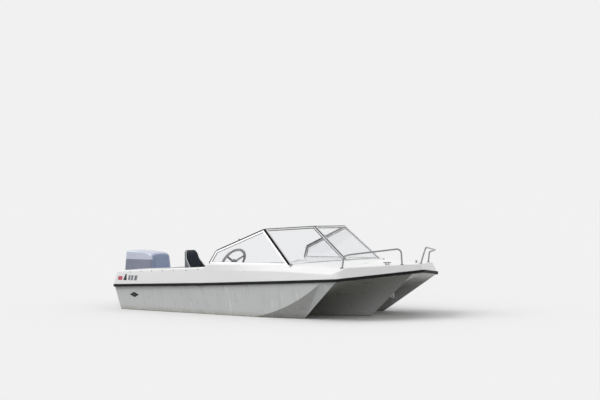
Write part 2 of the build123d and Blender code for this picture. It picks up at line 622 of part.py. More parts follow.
def make_helm_seat():
    """A moulded bucket on a pedestal, with a loose cushion on its seat and back."""
    floor = COCKPIT_FLOOR + SEAT_GAP * 2 + LINER_WALL
    top, front = SEAT_TOP_Z - SEAT_BASE_Z, SEAT_SIDE[2][0]
    foot_x = SEAT_FOOT_X + front / 2
    up = (Align.CENTER, Align.CENTER, Align.MIN)
    head_z = SEAT_BASE_Z - SEAT_GAP
    post = Pos(foot_x, SEAT_Y, floor) * Cylinder(PEDESTAL_RADIUS, head_z - floor, align=up)
    base = Pos(foot_x, SEAT_Y, floor) * Cylinder(PEDESTAL_FOOT_RADIUS, 18, align=up)
    head_plate = Pos(foot_x, SEAT_Y, head_z - 16) * Box(260, 240, 16, align=up)
    keep("helm_seat_pedestal", post + base + head_plate)

    wide = SEAT_FRONT[1][0] + SEAT_SHELL
    solid = seat_side(SEAT_SIDE + [(seat_back_x(top), top)], wide) & seat_front()
    low, high, ahead = SEAT_SHELL, top + SEAT_SHELL, front + SEAT_SHELL
    hollow = [(seat_back_x(low) + SEAT_SHELL, low), (ahead, low), (ahead, high),
              (seat_back_x(high) + SEAT_SHELL, high)]
    keep("helm_seat_shell", solid - (seat_side(hollow, wide) & seat_front(SEAT_SHELL)))

    inside = seat_front(SEAT_SHELL + SEAT_GAP)
    low = behind = SEAT_SHELL + SEAT_GAP
    crown = top - SEAT_BACK_DROP
    back = [(seat_back_x(low) + behind, low), (seat_back_x(low) + behind + SEAT_CUSHION, low),
            (seat_back_x(crown) + behind + SEAT_CUSHION, crown), (seat_back_x(crown) + behind, crown)]
    keep("helm_seat_back_cushion", seat_side(back, wide) & inside)
    pad_start = behind + SEAT_CUSHION + 1
    pad = [(seat_back_x(low) + pad_start, low), (front - 20, low), (front - 20, low + SEAT_CUSHION),
           (seat_back_x(low + SEAT_CUSHION) + pad_start, low + SEAT_CUSHION)]
    keep("helm_seat_cushion", seat_side(pad, wide) & inside)


def make_other_seats():
    """The low seat opposite the helm, and the bench ahead of the motor well."""
    floor = COCKPIT_FLOOR + SEAT_GAP * 2 + LINER_WALL
    (x0, x1), (y0, y1), top = PASSENGER_SEAT_X, PASSENGER_SEAT_Y, PASSENGER_SEAT_TOP_Z
    box = block(x0, x1, y0, y1, floor, top)
    keep("passenger_seat_base", fillet(box.edges().filter_by(Axis.Z), 25))
    pad = block(x0 + 5, x1 - 5, y0 + 5, y1 - 5, top + SEAT_GAP, top + SEAT_GAP + PASSENGER_CUSHION)
    keep("passenger_seat_cushion", fillet(pad.edges().filter_by(Axis.Z), 30))
    aft = COCKPIT_AFT + SEAT_GAP * 2 + LINER_WALL
    box = block(aft, aft + BENCH_DEPTH, -BENCH_HALF_WIDTH, BENCH_HALF_WIDTH, floor, BENCH_TOP_Z)
    keep("aft_bench_base", fillet(box.edges().filter_by(Axis.Z), 60))
    low = BENCH_TOP_Z + SEAT_GAP
    pad = block(aft + BENCH_CUSHION + 2, aft + BENCH_DEPTH + 10, -BENCH_HALF_WIDTH, BENCH_HALF_WIDTH,
                low, low + BENCH_CUSHION)
    keep("aft_bench_cushion", fillet(pad.edges().filter_by(Axis.Z), 40))
    back = block(aft, aft + BENCH_CUSHION, -BENCH_HALF_WIDTH, BENCH_HALF_WIDTH, low, low + BENCH_BACK_HEIGHT)
    keep("aft_bench_back_cushion", fillet(back.edges().filter_by(Axis.Y), 25))


def plate_xz(points, y0, y1):
    """A plate of the given x, z outline between two y planes."""
    face = make_face(Polyline(*[(x, y0, z) for x, z in points], close=True))
    return extrude(face, y1 - y0, dir=(0, 1, 0))


def tube_y(x, z, radius, half_length, bore=0.0):
    tube = Pos(x, 0, z) * Rot(90, 0, 0) * Cylinder(radius, 2 * half_length)
    if bore:
        tube = tube - Pos(x, 0, z) * Rot(90, 0, 0) * Cylinder(bore, 2 * half_length + 2)
    return tube


def make_clamp_brackets():
    """Two brackets hooked over the transom, joined by the tilt tube and a foot bar."""
    wall_front = transom_x(TRANSOM_TOP) + TRANSOM_WALL
    gap = SEAT_GAP
    foot_x, foot_z = CYLINDER_FOOT
    low = foot_z - 60
    outline = [(transom_x(TRANSOM_TOP) - gap, TRANSOM_TOP + gap), (wall_front + gap, TRANSOM_TOP + gap),
               (wall_front + gap, TRANSOM_TOP - 50), (wall_front + 26, TRANSOM_TOP - 50),
               (wall_front + 30, TRANSOM_TOP + 8), (wall_front + 10, TRANSOM_TOP + 22),
               (TILT_X + 16, TILT_Z + 32), (TILT_X - 20, TILT_Z + 28),
               (TILT_X - 32, TILT_Z), (TILT_X - 26, TILT_Z - 50), (foot_x - 30, foot_z + 20),
               (foot_x - 22, low), (transom_x(low) - gap, low)]
    plates = []
    for y0 in (BRACKET_INNER_Y, -BRACKET_INNER_Y - BRACKET_PLATE):
        plate = plate_xz(outline, y0, y0 + BRACKET_PLATE)
        plate = plate - tube_y(TILT_X, TILT_Z, TILT_TUBE_RADIUS + PIN_CLEARANCE, 200)
        plates.append(plate)
    half = BRACKET_INNER_Y + BRACKET_PLATE + 12
    tube = tube_y(TILT_X, TILT_Z, TILT_TUBE_RADIUS, half)
    bar = tube_y(foot_x, foot_z, CYLINDER_PIN_RADIUS, BRACKET_INNER_Y + 1)
    keep("clamp_brackets", plates[0] + plates[1] + bar)
    keep("tilt_tube", tube)


def make_swivel_bracket():
    """The bracket that tilts: a bored post, two webs and the boss on the tilt tube."""
    height = SWIVEL_TOP - SWIVEL_BOTTOM
    post = Pos(SWIVEL_X, 0, SWIVEL_BOTTOM) * Cylinder(SWIVEL_TUBE_RADIUS, height,
                                                      align=(Align.CENTER, Align.CENTER, Align.MIN))
    boss = tube_y(TILT_X, TILT_Z, TILT_BOSS_RADIUS, BRACKET_INNER_Y - SEAT_GAP)
    boss = boss - block(-200, 200, -24, 24, 0, 500)
    eye_x, eye_z = CYLINDER_EYE
    web = [(SWIVEL_X, SWIVEL_TOP - 4), (TILT_X, TILT_Z + TILT_BOSS_RADIUS - 8),
           (TILT_X + 14, TILT_Z - 14), (eye_x + 12, eye_z - 24), (eye_x - 14, eye_z - 34),
           (SWIVEL_X + 8, SWIVEL_BOTTOM + 60), (SWIVEL_X, SWIVEL_BOTTOM + 30)]
    webs = [plate_xz(web, y0, y0 + 10) for y0 in (24, -34)]
    pin = tube_y(eye_x, eye_z, CYLINDER_PIN_RADIUS, 30)
    top = block(SWIVEL_X, eye_x - 30, -60, 60, SWIVEL_TOP - 16, SWIVEL_TOP - 2)
    body = post + boss + webs[0] + webs[1] + top + pin
    body = body - tube_y(TILT_X, TILT_Z, TILT_TUBE_RADIUS + PIN_CLEARANCE, 300)
    body = body - Pos(SWIVEL_X, 0, SWIVEL_BOTTOM) * Cylinder(SWIVEL_PIN_RADIUS + PIN_CLEARANCE, 2 * height)
    keep("swivel_bracket", body)


def eye_drift():
    """The furthest that the rod's eye, on its straight path, gets from its pin, on its arc."""
    foot, eye, axle = Vector(CYLINDER_FOOT), Vector(CYLINDER_EYE), Vector(TILT_X, TILT_Z)
    along = (eye - foot).normalized()

    def pin_at(degrees):
        return axle + (eye - axle).rotate(Axis.Z, -degrees)

    stroke = (pin_at(TILT_TRAVEL) - eye).dot(along)
    steps = range(int(TILT_TRAVEL) + 1)
    return max((pin_at(d) - eye - along * (stroke * d / TILT_TRAVEL)).length for d in steps)


def make_tilt_cylinder():
    """The hydraulic cylinder between the brackets, and its rod."""
    foot = Vector(CYLINDER_FOOT[0], 0, CYLINDER_FOOT[1])
    eye = Vector(CYLINDER_EYE[0], 0, CYLINDER_EYE[1])
    span = (eye - foot).length
    frame = Plane(foot, x_dir=(0, 1, 0), z_dir=(eye - foot))
    up = (Align.CENTER, Align.CENTER, Align.MIN)
    ring_radius, rod_end, head = 18, 24, 62
    ring = Rot(0, 90, 0) * Cylinder(ring_radius, 36)
    ring_bore = Rot(0, 90, 0) * Cylinder(CYLINDER_PIN_RADIUS + PIN_CLEARANCE, 50)
    body = Pos(0, 0, ring_radius - 6) * Cylinder(CYLINDER_RADIUS, span - head - ring_radius + 6, align=up)
    bore = Pos(0, 0, ring_radius + 12) * Cylinder(ROD_RADIUS + PIN_CLEARANCE, span, align=up)
    keep("tilt_cylinder", frame * (body + ring - ring_bore - bore))
    rod = Pos(0, 0, rod_end + 20) * Cylinder(ROD_RADIUS, span - rod_end - 20 - 14, align=up)
    eye_bore = CYLINDER_PIN_RADIUS + eye_drift() + ROD_EYE_CLEARANCE
    eye_ring = Pos(0, 0, span) * Rot(0, 90, 0) * Cylinder(eye_bore + ROD_EYE_WALL, 34)
    hole = Pos(0, 0, span) * Rot(0, 90, 0) * Cylinder(eye_bore, 50)
    keep("tilt_cylinder_rod", frame * (rod + eye_ring - hole))


def section_xy(x_front, x_back, width, z):
    """A rounded, slightly pointed section of the leg, seen from above."""
    middle = x_front - (x_front - x_back) * 0.4
    return Wire([
        ThreePointArc((x_back, -width * 0.18, z), (middle, -width / 2, z), (x_front, -width * 0.12, z)),
        ThreePointArc((x_front, -width * 0.12, z), (x_front + width * 0.05, 0, z), (x_front, width * 0.12, z)),
        ThreePointArc((x_front, width * 0.12, z), (middle, width / 2, z), (x_back, width * 0.18, z)),
        Line((x_back, width * 0.18, z), (x_back, -width * 0.18, z)),
    ])


def make_leg():
    """The exhaust housing from the engine down to the gearcase, with its two mounts."""
    # front x, back x, width, z
    rows = [
        (-176, -470, 200, COWL_BOTTOM - SEAT_GAP),
        (-182, -440, 170, 270),
        (-190, -420, 120, 60),
        (-196, -440, 104, LEG_BOTTOM + SEAT_GAP),
    ]
    housing = Solid.make_loft([section_xy(*row) for row in rows], ruled=True)
    upper = block(SWIVEL_X - 60, SWIVEL_X, -62, 62, SWIVEL_TOP + 6, SWIVEL_TOP + 40)
    upper = upper + Pos(SWIVEL_X, 0, SWIVEL_TOP + 23) * Cylinder(62, 34)
    lower = block(SWIVEL_X - 70, SWIVEL_X, -40, 40, SWIVEL_BOTTOM - 46, SWIVEL_BOTTOM - 6)
    lower = lower + Pos(SWIVEL_X, 0, SWIVEL_BOTTOM - 26) * Cylinder(40, 40)
    pin = Pos(SWIVEL_X, 0, (SWIVEL_TOP + SWIVEL_BOTTOM) / 2) * Cylinder(
        SWIVEL_PIN_RADIUS, SWIVEL_TOP - SWIVEL_BOTTOM + 60)
    keep("leg_housing", housing + upper + lower + pin)


def make_gearcase():
    """Plate, strut, torpedo and skeg below the leg."""
    # front x, back x, width, z
    rows = [(-196, -440, 104, LEG_BOTTOM), (-205, -460, 84, -360), (-215, -470, 70, PROP_AXIS_Z + 25)]
    strut = Solid.make_loft([section_xy(*row) for row in rows], ruled=True)
    plate = Polyline((-150, -40), (-220, -92), (-560, -112), (-700, -92), (-700, 92), (-560, 112), (-220, 92),
                     (-150, 40), close=True)
    plate = fillet(make_face(plate).vertices(), 18)
    plate = Pos(0, 0, LEG_BOTTOM - PLATE_THICKNESS) * extrude(plate, PLATE_THICKNESS)
    nose, back = -150.0, PROP_X + 62.0
    profile = make_face(Wire([
        Line((nose, 0), (back, 0)),
        Line((back, 0), (back, PROP_HUB_RADIUS)),
        Line((back, PROP_HUB_RADIUS), (nose - 190, TORPEDO_RADIUS)),
        Bezier((nose - 190, TORPEDO_RADIUS), (nose - 80, TORPEDO_RADIUS), (nose, TORPEDO_RADIUS * 0.6),
               (nose, 0)),
    ]))
    torpedo = Pos(0, 0, PROP_AXIS_Z) * revolve(profile, Axis.X)
    skeg = plate_xz([(-250, PROP_AXIS_Z - 30), (-470, PROP_AXIS_Z - 30), (-520, PROP_AXIS_Z - 228),
                     (-440, PROP_AXIS_Z - 232)], -5, 5)
    depth = 80
    shaft_bore = Rot(0, 90, 0) * Cylinder(PROP_SHAFT_RADIUS + PIN_CLEARANCE, 2 * depth)
    shaft_bore = Pos(back, 0, PROP_AXIS_Z) * shaft_bore
    keep("gearcase", strut + plate + torpedo + skeg - shaft_bore)


def blade_section(radius, chord, pitch_angle, thickness):
    """One section of a propeller blade: a lens, set at its pitch, across the blade."""
    angle = math.radians(pitch_angle)

    def point(along, across):
        x = along * math.sin(angle) + across * math.cos(angle)
        y = along * math.cos(angle) - across * math.sin(angle)
        return (x, y, radius)

    tail, tip = point(-chord / 2, 0), point(chord / 2, 0)
    return Wire([
        ThreePointArc(tail, point(0, thickness / 2), tip),
        ThreePointArc(tip, point(0, -thickness / 2), tail),
    ])


def make_propeller():
    """Three pitched blades on a hub, with the shaft that carries it."""
    # radius, chord, pitch angle, thickness
    rows = [(40, 84, 58, 9), (80, 118, 41, 7), (120, 124, 30, 5), (155, 92, 24, 4), (174, 40, 22, 2.4)]
    blade = Solid.make_loft([blade_section(*row) for row in rows])
    hub = Rot(0, 90, 0) * Cylinder(PROP_HUB_RADIUS, 112)
    hub = fillet(hub.edges().sort_by(Axis.X)[0], 10)
    shaft = Pos(90, 0, 0) * Rot(0, 90, 0) * Cylinder(PROP_SHAFT_RADIUS, 80)
    nut = Pos(-66, 0, 0) * Rot(0, 90, 0) * Cylinder(17, 22)
    body = hub + shaft + nut
    for turn in (0, 120, 240):
        body = body + Rot(turn, 0, 0) * blade
    keep("propeller", Pos(PROP_X, 0, PROP_AXIS_Z) * body)


def cowl_block(inset, z0, z1):
    """The cowl's rounded box, leaning in toward the top."""
    length, width = COWL_FRONT - COWL_BACK - 2 * inset, COWL_WIDTH - 2 * inset
    plan = fillet(Rectangle(length, width).vertices(), COWL_CORNER_RADIUS - inset)
    body = extrude(plan, z1 - z0, taper=COWL_TUMBLEHOME)
    return Pos((COWL_FRONT + COWL_BACK) / 2, 0, z0) * body


def cowl_crown(inset):
    """A block with a top that is rounded lengthwise and crosswise, which gives the cowl its crown."""
    half, top, reach = COWL_WIDTH / 2, COWL_TOP - inset, 25
    edge, low = top - COWL_CROWN_DROP, COWL_BOTTOM
    face = make_face(Wire([
        ThreePointArc((0, -half, edge), (0, 0, top), (0, half, edge)),
        Line((0, half, edge), (0, half, low)),
        Line((0, half, low), (0, -half, low)),
        Line((0, -half, low), (0, -half, edge)),
    ]))
    axle = Axis((0, 0, COWL_TOP - COWL_CROWN_RADIUS), (0, 1, 0))
    bar = revolve(face.rotate(axle, -reach), axle, 2 * reach)
    return Pos(COWL_CREST_X, 0, 0) * bar


def make_cowl():
    """The engine's cover, its tray, and the engine as one block."""
    above = COWL_TOP + COWL_EDGE_RADIUS
    outer = cowl_block(0, COWL_SPLIT + SEAT_GAP, above) & cowl_crown(0)
    outer = fillet(outer.faces().sort_by(Axis.Z)[-1].edges(), COWL_EDGE_RADIUS)
    inner = cowl_block(COWL_WALL, COWL_SPLIT - 1, above) & cowl_crown(COWL_WALL)
    keep("cowl_upper", outer - inner)
    tray = Pos(0, 0, COWL_SPLIT) * mirror(cowl_block(0, 0, COWL_SPLIT - COWL_BOTTOM), about=Plane.XY)
    aft, fore = POWERHEAD_X
    floor, half = COWL_BOTTOM + TRAY_FLOOR, POWERHEAD_HALF_WIDTH
    keep("cowl_lower", tray - block(aft - 80, fore + 40, -half - 10, half + 10, floor, FAR))
    keep("powerhead", block(aft, fore, -half, half, floor + SEAT_GAP, POWERHEAD_TOP))


make_hull()
deck_top = make_deck()
make_rub_rail()
make_liner()
make_windscreen(deck_top)
make_bow_rails(deck_top)
make_cleats(deck_top)
make_eyes(hull_form())
make_helm()
make_helm_seat()
make_other_seats()
make_clamp_brackets()
make_swivel_bracket()
make_tilt_cylinder()
make_leg()
make_gearcase()
make_propeller()
make_cowl()

os.makedirs("parts", exist_ok=True)
for name, shape in parts.items():
    export_step(shape, f"parts/{name}.step")
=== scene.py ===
"""The looks of an open sports boat: finishes, cushions, trim, light and camera.

Metres, in the part's own frame: +X forward, +Y port, +Z up, with the waterline at z = 0.
"""

import json
from math import cos, exp, pi, radians, sin, sqrt, tan

import bmesh
import bpy
import numpy as np
from mathutils import Matrix, Vector
from mathutils.bvhtree import BVHTree


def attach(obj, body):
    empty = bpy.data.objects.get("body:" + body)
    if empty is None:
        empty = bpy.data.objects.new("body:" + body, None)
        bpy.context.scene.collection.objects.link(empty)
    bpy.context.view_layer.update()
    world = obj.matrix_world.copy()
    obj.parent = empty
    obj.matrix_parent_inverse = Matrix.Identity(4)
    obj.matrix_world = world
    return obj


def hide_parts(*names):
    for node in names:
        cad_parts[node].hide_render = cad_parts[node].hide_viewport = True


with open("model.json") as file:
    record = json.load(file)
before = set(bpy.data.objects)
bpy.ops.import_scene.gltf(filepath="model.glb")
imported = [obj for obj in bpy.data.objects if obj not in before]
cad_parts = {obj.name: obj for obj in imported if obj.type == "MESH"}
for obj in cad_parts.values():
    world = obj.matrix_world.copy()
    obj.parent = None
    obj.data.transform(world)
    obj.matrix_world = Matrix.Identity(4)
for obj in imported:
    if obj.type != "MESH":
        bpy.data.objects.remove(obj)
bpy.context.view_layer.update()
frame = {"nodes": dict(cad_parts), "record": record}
nodes = frame["nodes"]
slot_of = {row["node"]: row["material_slot"] for row in frame["record"]["subparts"]}

MM = 0.001

# Camera, fitted to the deck line, the windscreen and the rub rail
CAMERA_AT = Vector((19.223, -16.025, 1.707))
CAMERA_YAW, CAMERA_ELEVATION, CAMERA_ROLL = (radians(a) for a in (45.204, 0.196, -1.147))
CAMERA_LENS = 94.10
CAMERA_SENSOR = 36.0


def make_camera():
    back = Vector((sin(CAMERA_YAW) * cos(CAMERA_ELEVATION),
                   -cos(CAMERA_YAW) * cos(CAMERA_ELEVATION), sin(CAMERA_ELEVATION)))
    level = Vector((cos(CAMERA_YAW), sin(CAMERA_YAW), 0))
    upright = back.cross(level)
    right = level * cos(CAMERA_ROLL) + upright * sin(CAMERA_ROLL)
    up = upright * cos(CAMERA_ROLL) - level * sin(CAMERA_ROLL)
    data = bpy.data.cameras.new("camera")
    data.lens, data.sensor_width, data.sensor_fit = CAMERA_LENS, CAMERA_SENSOR, "HORIZONTAL"
    data.clip_start, data.clip_end = 1.0, 1000.0
    camera = bpy.data.objects.new("camera", data)
    bpy.context.scene.collection.objects.link(camera)
    turn = Matrix((right, up, back)).transposed().to_4x4()
    camera.matrix_world = Matrix.Translation(CAMERA_AT) @ turn
    bpy.context.scene.camera = camera


# Heights that finishes follow: where the cowl's two colours meet and how sharply, and below which the
# deck moulding's level surfaces are a floor
BAND_HEIGHT, BAND_EDGE = 0.725, 0.0005
FLOOR_BELOW = 0.25


def add_node(tree, kind, inputs=(), **settings):
    """A new shader node with its settings, and with values or other nodes' outputs on its inputs."""
    node = tree.nodes.new("ShaderNode" + kind)
    for name, value in settings.items():
        setattr(node, name, value)
    for socket, value in dict(inputs).items():
        if isinstance(value, bpy.types.NodeSocket):
            tree.links.new(value, node.inputs[socket])
        else:
            node.inputs[socket].default_value = value
    return node


def mix_shaders(tree, output, factor, low, high):
    """Gives the tree's output a mix of two shader nodes."""
    mix = add_node(tree, "MixShader", {0: factor, 1: low.outputs[0], 2: high.outputs[0]})
    tree.links.new(mix.outputs[0], tree.nodes[output].inputs["Surface"])


class Finish:
    """A Principled material, with helpers that add procedural detail to it."""

    def __init__(self, name, colour, roughness, **sockets):
        self.material = bpy.data.materials.new(name)
        self.material.use_nodes = True
        self.tree = self.material.node_tree
        self.shader = self.tree.nodes["Principled BSDF"]
        self.base = (*colour, 1)
        self.bumped = None
        for socket, value in {"Base_Color": self.base, "Roughness": roughness, **sockets}.items():
            self.shader.inputs[socket.replace("_", " ")].default_value = value
        self.place = self.add("TexCoord")["Object"]

    def add(self, kind, inputs=(), **settings):
        """The outputs of a new node."""
        return add_node(self.tree, kind, inputs, **settings).outputs

    def put(self, output, socket):
        """Joins an output to a socket of the shader."""
        self.tree.links.new(output, self.shader.inputs[socket])

    def noise(self, scale, stretch=(1, 1, 1), detail=4.0, roughness=0.55, distortion=0.0):
        """Cloudy variation with a mean near 0.5; a scale of 1 gives clouds of about a metre."""
        place = self.add("Mapping", {"Vector": self.place, "Scale": stretch})["Vector"]
        return self.add("TexNoise", {"Vector": place, "Scale": scale, "Detail": detail,
                                     "Roughness": roughness, "Distortion": distortion})["Fac"]

    def cells(self, scale):
        """How far each point is from the middle of its cell, for a grain."""
        return self.add("TexVoronoi", {"Vector": self.place, "Scale": scale})["Distance"]

    def height(self, low, high):
        """0 at z = low, changing evenly to 1 at z = high."""
        return self.between(self.add("SeparateXYZ", {0: self.place})["Z"], low, high)

    def facing(self, axis):
        """How much the surface faces along an axis of the object."""
        normal = self.add("TexCoord")["Normal"]
        return self.add("SeparateXYZ", {0: normal})[axis]

    def between(self, value, low, high, start=0.0, end=1.0):
        """Maps a value's range from low to high onto start to end, and holds it there outside."""
        return self.add("MapRange", {"Value": value, "From Min": low, "From Max": high,
                                     "To Min": start, "To Max": end})["Result"]

    def times(self, a, b):
        return self.add("Math", {0: a, 1: b}, operation="MULTIPLY")[0]

    def tint(self, factor, colour):
        """Mixes the colour so far towards another one where the factor is high."""
        self.base = self.add("Mix", {0: factor, 6: self.base, 7: (*colour, 1)}, data_type="RGBA")[2]
        self.put(self.base, "Base Color")

    def rough(self, value, low, high):
        """Roughness that follows a value between two limits."""
        self.put(self.between(value, 0.3, 0.7, low, high), "Roughness")

    def bump(self, height, depth, strength):
        """Relief of a depth in millimetres, on top of the relief so far."""
        inputs = {"Strength": strength, "Distance": depth * MM, "Height": height}
        if self.bumped is not None:
            inputs["Normal"] = self.bumped
        self.bumped = self.add("Bump", inputs)["Normal"]
        self.put(self.bumped, "Normal")


def hull_gelcoat(slot):
    """Pale grey gelcoat, chalked, with runs and scuffs, painted shade where it faces down, and a stain at the
    waterline.
    """
    f = Finish(slot, (0.69, 0.70, 0.70), 0.3, Coat_Weight=0.25, Coat_Roughness=0.15)
    f.tint(f.between(f.noise(2.2), 0.35, 0.7, 0, 0.55), (0.74, 0.75, 0.75))
    runs = f.noise(9.0, (1.5, 1.5, 0.10), detail=6, distortion=0.4)
    f.tint(f.between(runs, 0.54, 0.72, 0, 0.45), (0.53, 0.54, 0.525))
    scuffs = f.noise(11.0, (0.9, 0.9, 0.13), detail=3, distortion=0.9)
    f.tint(f.between(scuffs, 0.63, 0.68, 0, 0.8), (0.86, 0.87, 0.86))
    # Painted shade: the surfaces that face down are darkened to an olive grey, with a painted reflection of
    # the dark water in it
    f.tint(f.between(f.facing(2), -0.45, -0.95, 0, 0.8), (0.40, 0.41, 0.34))
    stain = f.times(f.height(0.075, 0.0), f.between(f.noise(14.0, (1, 1, 0.5)), 0.3, 0.7, 0.35, 1.0))
    f.tint(stain, (0.44, 0.43, 0.36))
    f.tint(f.height(0.012, 0.0), (0.12, 0.12, 0.095))
    f.rough(f.noise(6.0), 0.24, 0.42)
    f.bump(f.noise(2.0, detail=1), 1.5, 0.12)
    f.bump(f.noise(420.0, detail=2), 0.05, 0.3)
    return f.material


def deck_gelcoat(slot):
    """White gelcoat with a little orange peel, dust and age, and non-skid on the cockpit's floor."""
    f = Finish(slot, (0.87, 0.875, 0.87), 0.3, Coat_Weight=0.2, Coat_Roughness=0.15)
    f.tint(f.between(f.noise(1.7, detail=2), 0.4, 0.75, 0, 0.5), (0.84, 0.845, 0.83))
    f.tint(f.between(f.noise(34.0, detail=8, roughness=0.7), 0.63, 0.78, 0, 0.14), (0.66, 0.65, 0.61))
    f.rough(f.noise(7.0), 0.26, 0.38)
    f.bump(f.noise(420.0, detail=2), 0.03, 0.2)
    floor = f.times(f.between(f.facing(2), 0.90, 0.97), f.height(FLOOR_BELOW, FLOOR_BELOW - 0.05))
    f.tint(f.times(floor, f.between(f.noise(5.0, detail=8), 0.3, 0.75, 0.35, 1.0)), (0.63, 0.635, 0.615))
    f.bump(f.times(floor, f.cells(150.0)), 0.9, 0.7)
    return f.material


def black_rubber(name, colour):
    """Dull black rubber, a little dusty."""
    f = Finish(name, colour, 0.7, Specular_IOR_Level=0.22)
    f.tint(f.between(f.noise(18.0, detail=6), 0.55, 0.78, 0, 0.4), (0.05, 0.05, 0.05))
    f.rough(f.noise(11.0), 0.62, 0.85)
    f.bump(f.noise(300.0), 0.15, 0.5)
    return f.material


def brushed_metal(name, colour, roughness, depth):
    """Metal with a fine, slightly uneven polish."""
    f = Finish(name, colour, roughness, Metallic=1.0)
    f.tint(f.between(f.noise(40.0, (6, 6, 6)), 0.35, 0.7, 0, 0.4), tuple(c * 0.8 for c in colour))
    f.rough(f.noise(9.0), roughness * 0.8, roughness * 1.35)
    f.bump(f.noise(160.0, (6, 6, 6)), depth, 0.4)
    return f.material


def moulded_plastic(name, colour, roughness, grain):
    """Plastic with a moulded grain, whose depth is in millimetres."""
    f = Finish(name, colour, roughness)
    f.tint(f.between(f.noise(6.0), 0.4, 0.7, 0, 0.5), tuple(min(1, c * 1.25 + 0.01) for c in colour))
    f.rough(f.noise(12.0), roughness * 0.85, roughness * 1.25)
    f.bump(f.cells(900.0), grain, 0.5)
    return f.material


def sprayed_paint(name, colour, roughness):
    """Metallic engine paint with a fine flake under a clear coat."""
    f = Finish(name, colour, roughness, Metallic=0.25, Coat_Weight=0.5, Coat_Roughness=0.1)
    f.tint(f.between(f.noise(4.0), 0.4, 0.7, 0, 0.5), tuple(c * 0.88 for c in colour))
    flakes = f.between(f.noise(1400.0, detail=1), 0.55, 0.7, 0, 0.25)
    f.tint(flakes, tuple(min(1, c * 1.7) for c in colour))
    f.bump(f.noise(350.0, detail=2), 0.04, 0.3)
    return f.material


def cowl_paint(slot):
    """Silver blue above, a darker blue grey band below, and painted shade on the front, darker and bluer."""
    f = Finish(slot, (0.56, 0.60, 0.72), 0.28, Metallic=0.15, Coat_Weight=0.6, Coat_Roughness=0.08)
    f.tint(f.height(BAND_HEIGHT + BAND_EDGE, BAND_HEIGHT - BAND_EDGE), (0.185, 0.205, 0.285))
    # Painted shade: the faces that look forward are tinted darker and bluer, as the front is in shade
    f.tint(f.between(f.facing(0), 0.55, 0.75), (0.20, 0.255, 0.40))
    f.tint(f.between(f.noise(5.0), 0.45, 0.8, 0, 0.2), (0.40, 0.42, 0.49))
    f.bump(f.noise(350.0, detail=2), 0.04, 0.3)
    return f.material


def clear_glass(slot):
    """Clear pane glass that lets the shadow's light through."""
    f = Finish(slot, (0.95, 0.955, 0.97), 0.02, Transmission_Weight=1.0, IOR=1.46)
    clear = add_node(f.tree, "BsdfTransparent", {"Color": (0.92, 0.93, 0.94, 1)})
    in_shadow = f.add("LightPath")["Is Shadow Ray"]
    mix_shaders(f.tree, "Material Output", in_shadow, f.shader, clear)
    return f.material


def seat_vinyl(slot):
    """Navy marine vinyl with a leather grain, paler where it has worn."""
    f = Finish(slot, (0.008, 0.011, 0.024), 0.6, Specular_IOR_Level=0.3)
    f.tint(f.between(f.noise(5.0), 0.45, 0.75, 0, 0.6), (0.016, 0.021, 0.040))
    f.rough(f.noise(10.0), 0.5, 0.7)
    f.bump(f.cells(420.0), 0.28, 0.6)
    f.bump(f.noise(1200.0, detail=2), 0.06, 0.4)
    return f.material


def painted(name, colour):
    """Printed film, a little faded."""
    f = Finish(name, colour, 0.35, Specular_IOR_Level=0.3)
    f.tint(f.between(f.noise(60.0, detail=6), 0.6, 0.8, 0, 0.2), tuple(c * 0.8 + 0.04 for c in colour))
    f.rough(f.noise(20.0), 0.3, 0.5)
    return f.material


def welt_pale():
    """Pale vinyl beading."""
    f = Finish("welt_pale", (0.50, 0.52, 0.55), 0.4)
    f.tint(f.between(f.noise(30.0), 0.4, 0.7, 0, 0.5), (0.38, 0.40, 0.43))
    f.bump(f.noise(500.0), 0.1, 0.4)
    return f.material


def wheel_foam():
    """Soft grip with a fine grain."""
    f = Finish("wheel_foam", (0.27, 0.265, 0.29), 0.55)
    f.tint(f.between(f.noise(14.0), 0.4, 0.7, 0, 0.5), (0.34, 0.335, 0.36))
    f.bump(f.cells(700.0), 0.3, 0.6)
    return f.material


# The material slots of the CAD: what makes each one, and its values after the slot's name
FINISHES = {
    "hull_gelcoat": (hull_gelcoat,),
    "deck_gelcoat": (deck_gelcoat,),
    "rail_rubber": (black_rubber, (0.010, 0.010, 0.011)),
    "gasket_rubber": (black_rubber, (0.007, 0.007, 0.008)),
    "frame_aluminium": (brushed_metal, (0.86, 0.86, 0.87), 0.32, 0.03),
    "screen_glass": (clear_glass,),
    # Painted reflection: the stainless is given darker than the steel is, for the dark surroundings that the
    # rails reflect
    "stainless": (brushed_metal, (0.30, 0.305, 0.315), 0.2, 0.01),
    "panel_plastic": (moulded_plastic, (0.028, 0.028, 0.032), 0.42, 0.12),
    "control_plastic": (moulded_plastic, (0.17, 0.17, 0.19), 0.42, 0.12),
    "seat_metal": (brushed_metal, (0.55, 0.55, 0.56), 0.35, 0.03),
    # Painted shade: the seat shell is given a dark grey, darker than its pale plastic, for the shade on its
    # sides
    "seat_shell_plastic": (moulded_plastic, (0.10, 0.105, 0.115), 0.4, 0.12),
    "seat_vinyl": (seat_vinyl,),
    "motor_paint": (sprayed_paint, (0.23, 0.255, 0.34), 0.3),
    "motor_paint_dark": (sprayed_paint, (0.10, 0.11, 0.14), 0.3),
    "cowl_plastic": (cowl_paint,),
    "engine_metal": (brushed_metal, (0.20, 0.20, 0.21), 0.5, 0.2),
    "prop_metal": (sprayed_paint, (0.06, 0.064, 0.075), 0.35),
}
finishes = {slot: make(slot, *values) for slot, (make, *values) in FINISHES.items()}
for node_name, node in nodes.items():
    node.data.materials.clear()
    node.data.materials.append(finishes[slot_of[node_name]])
nodes["bow_eye"].data.materials[0] = brushed_metal("bright_steel", (0.88, 0.88, 0.89), 0.22, 0.01)

# Forms and helpers
FILM_CELL = 0.012
HERE = Matrix()


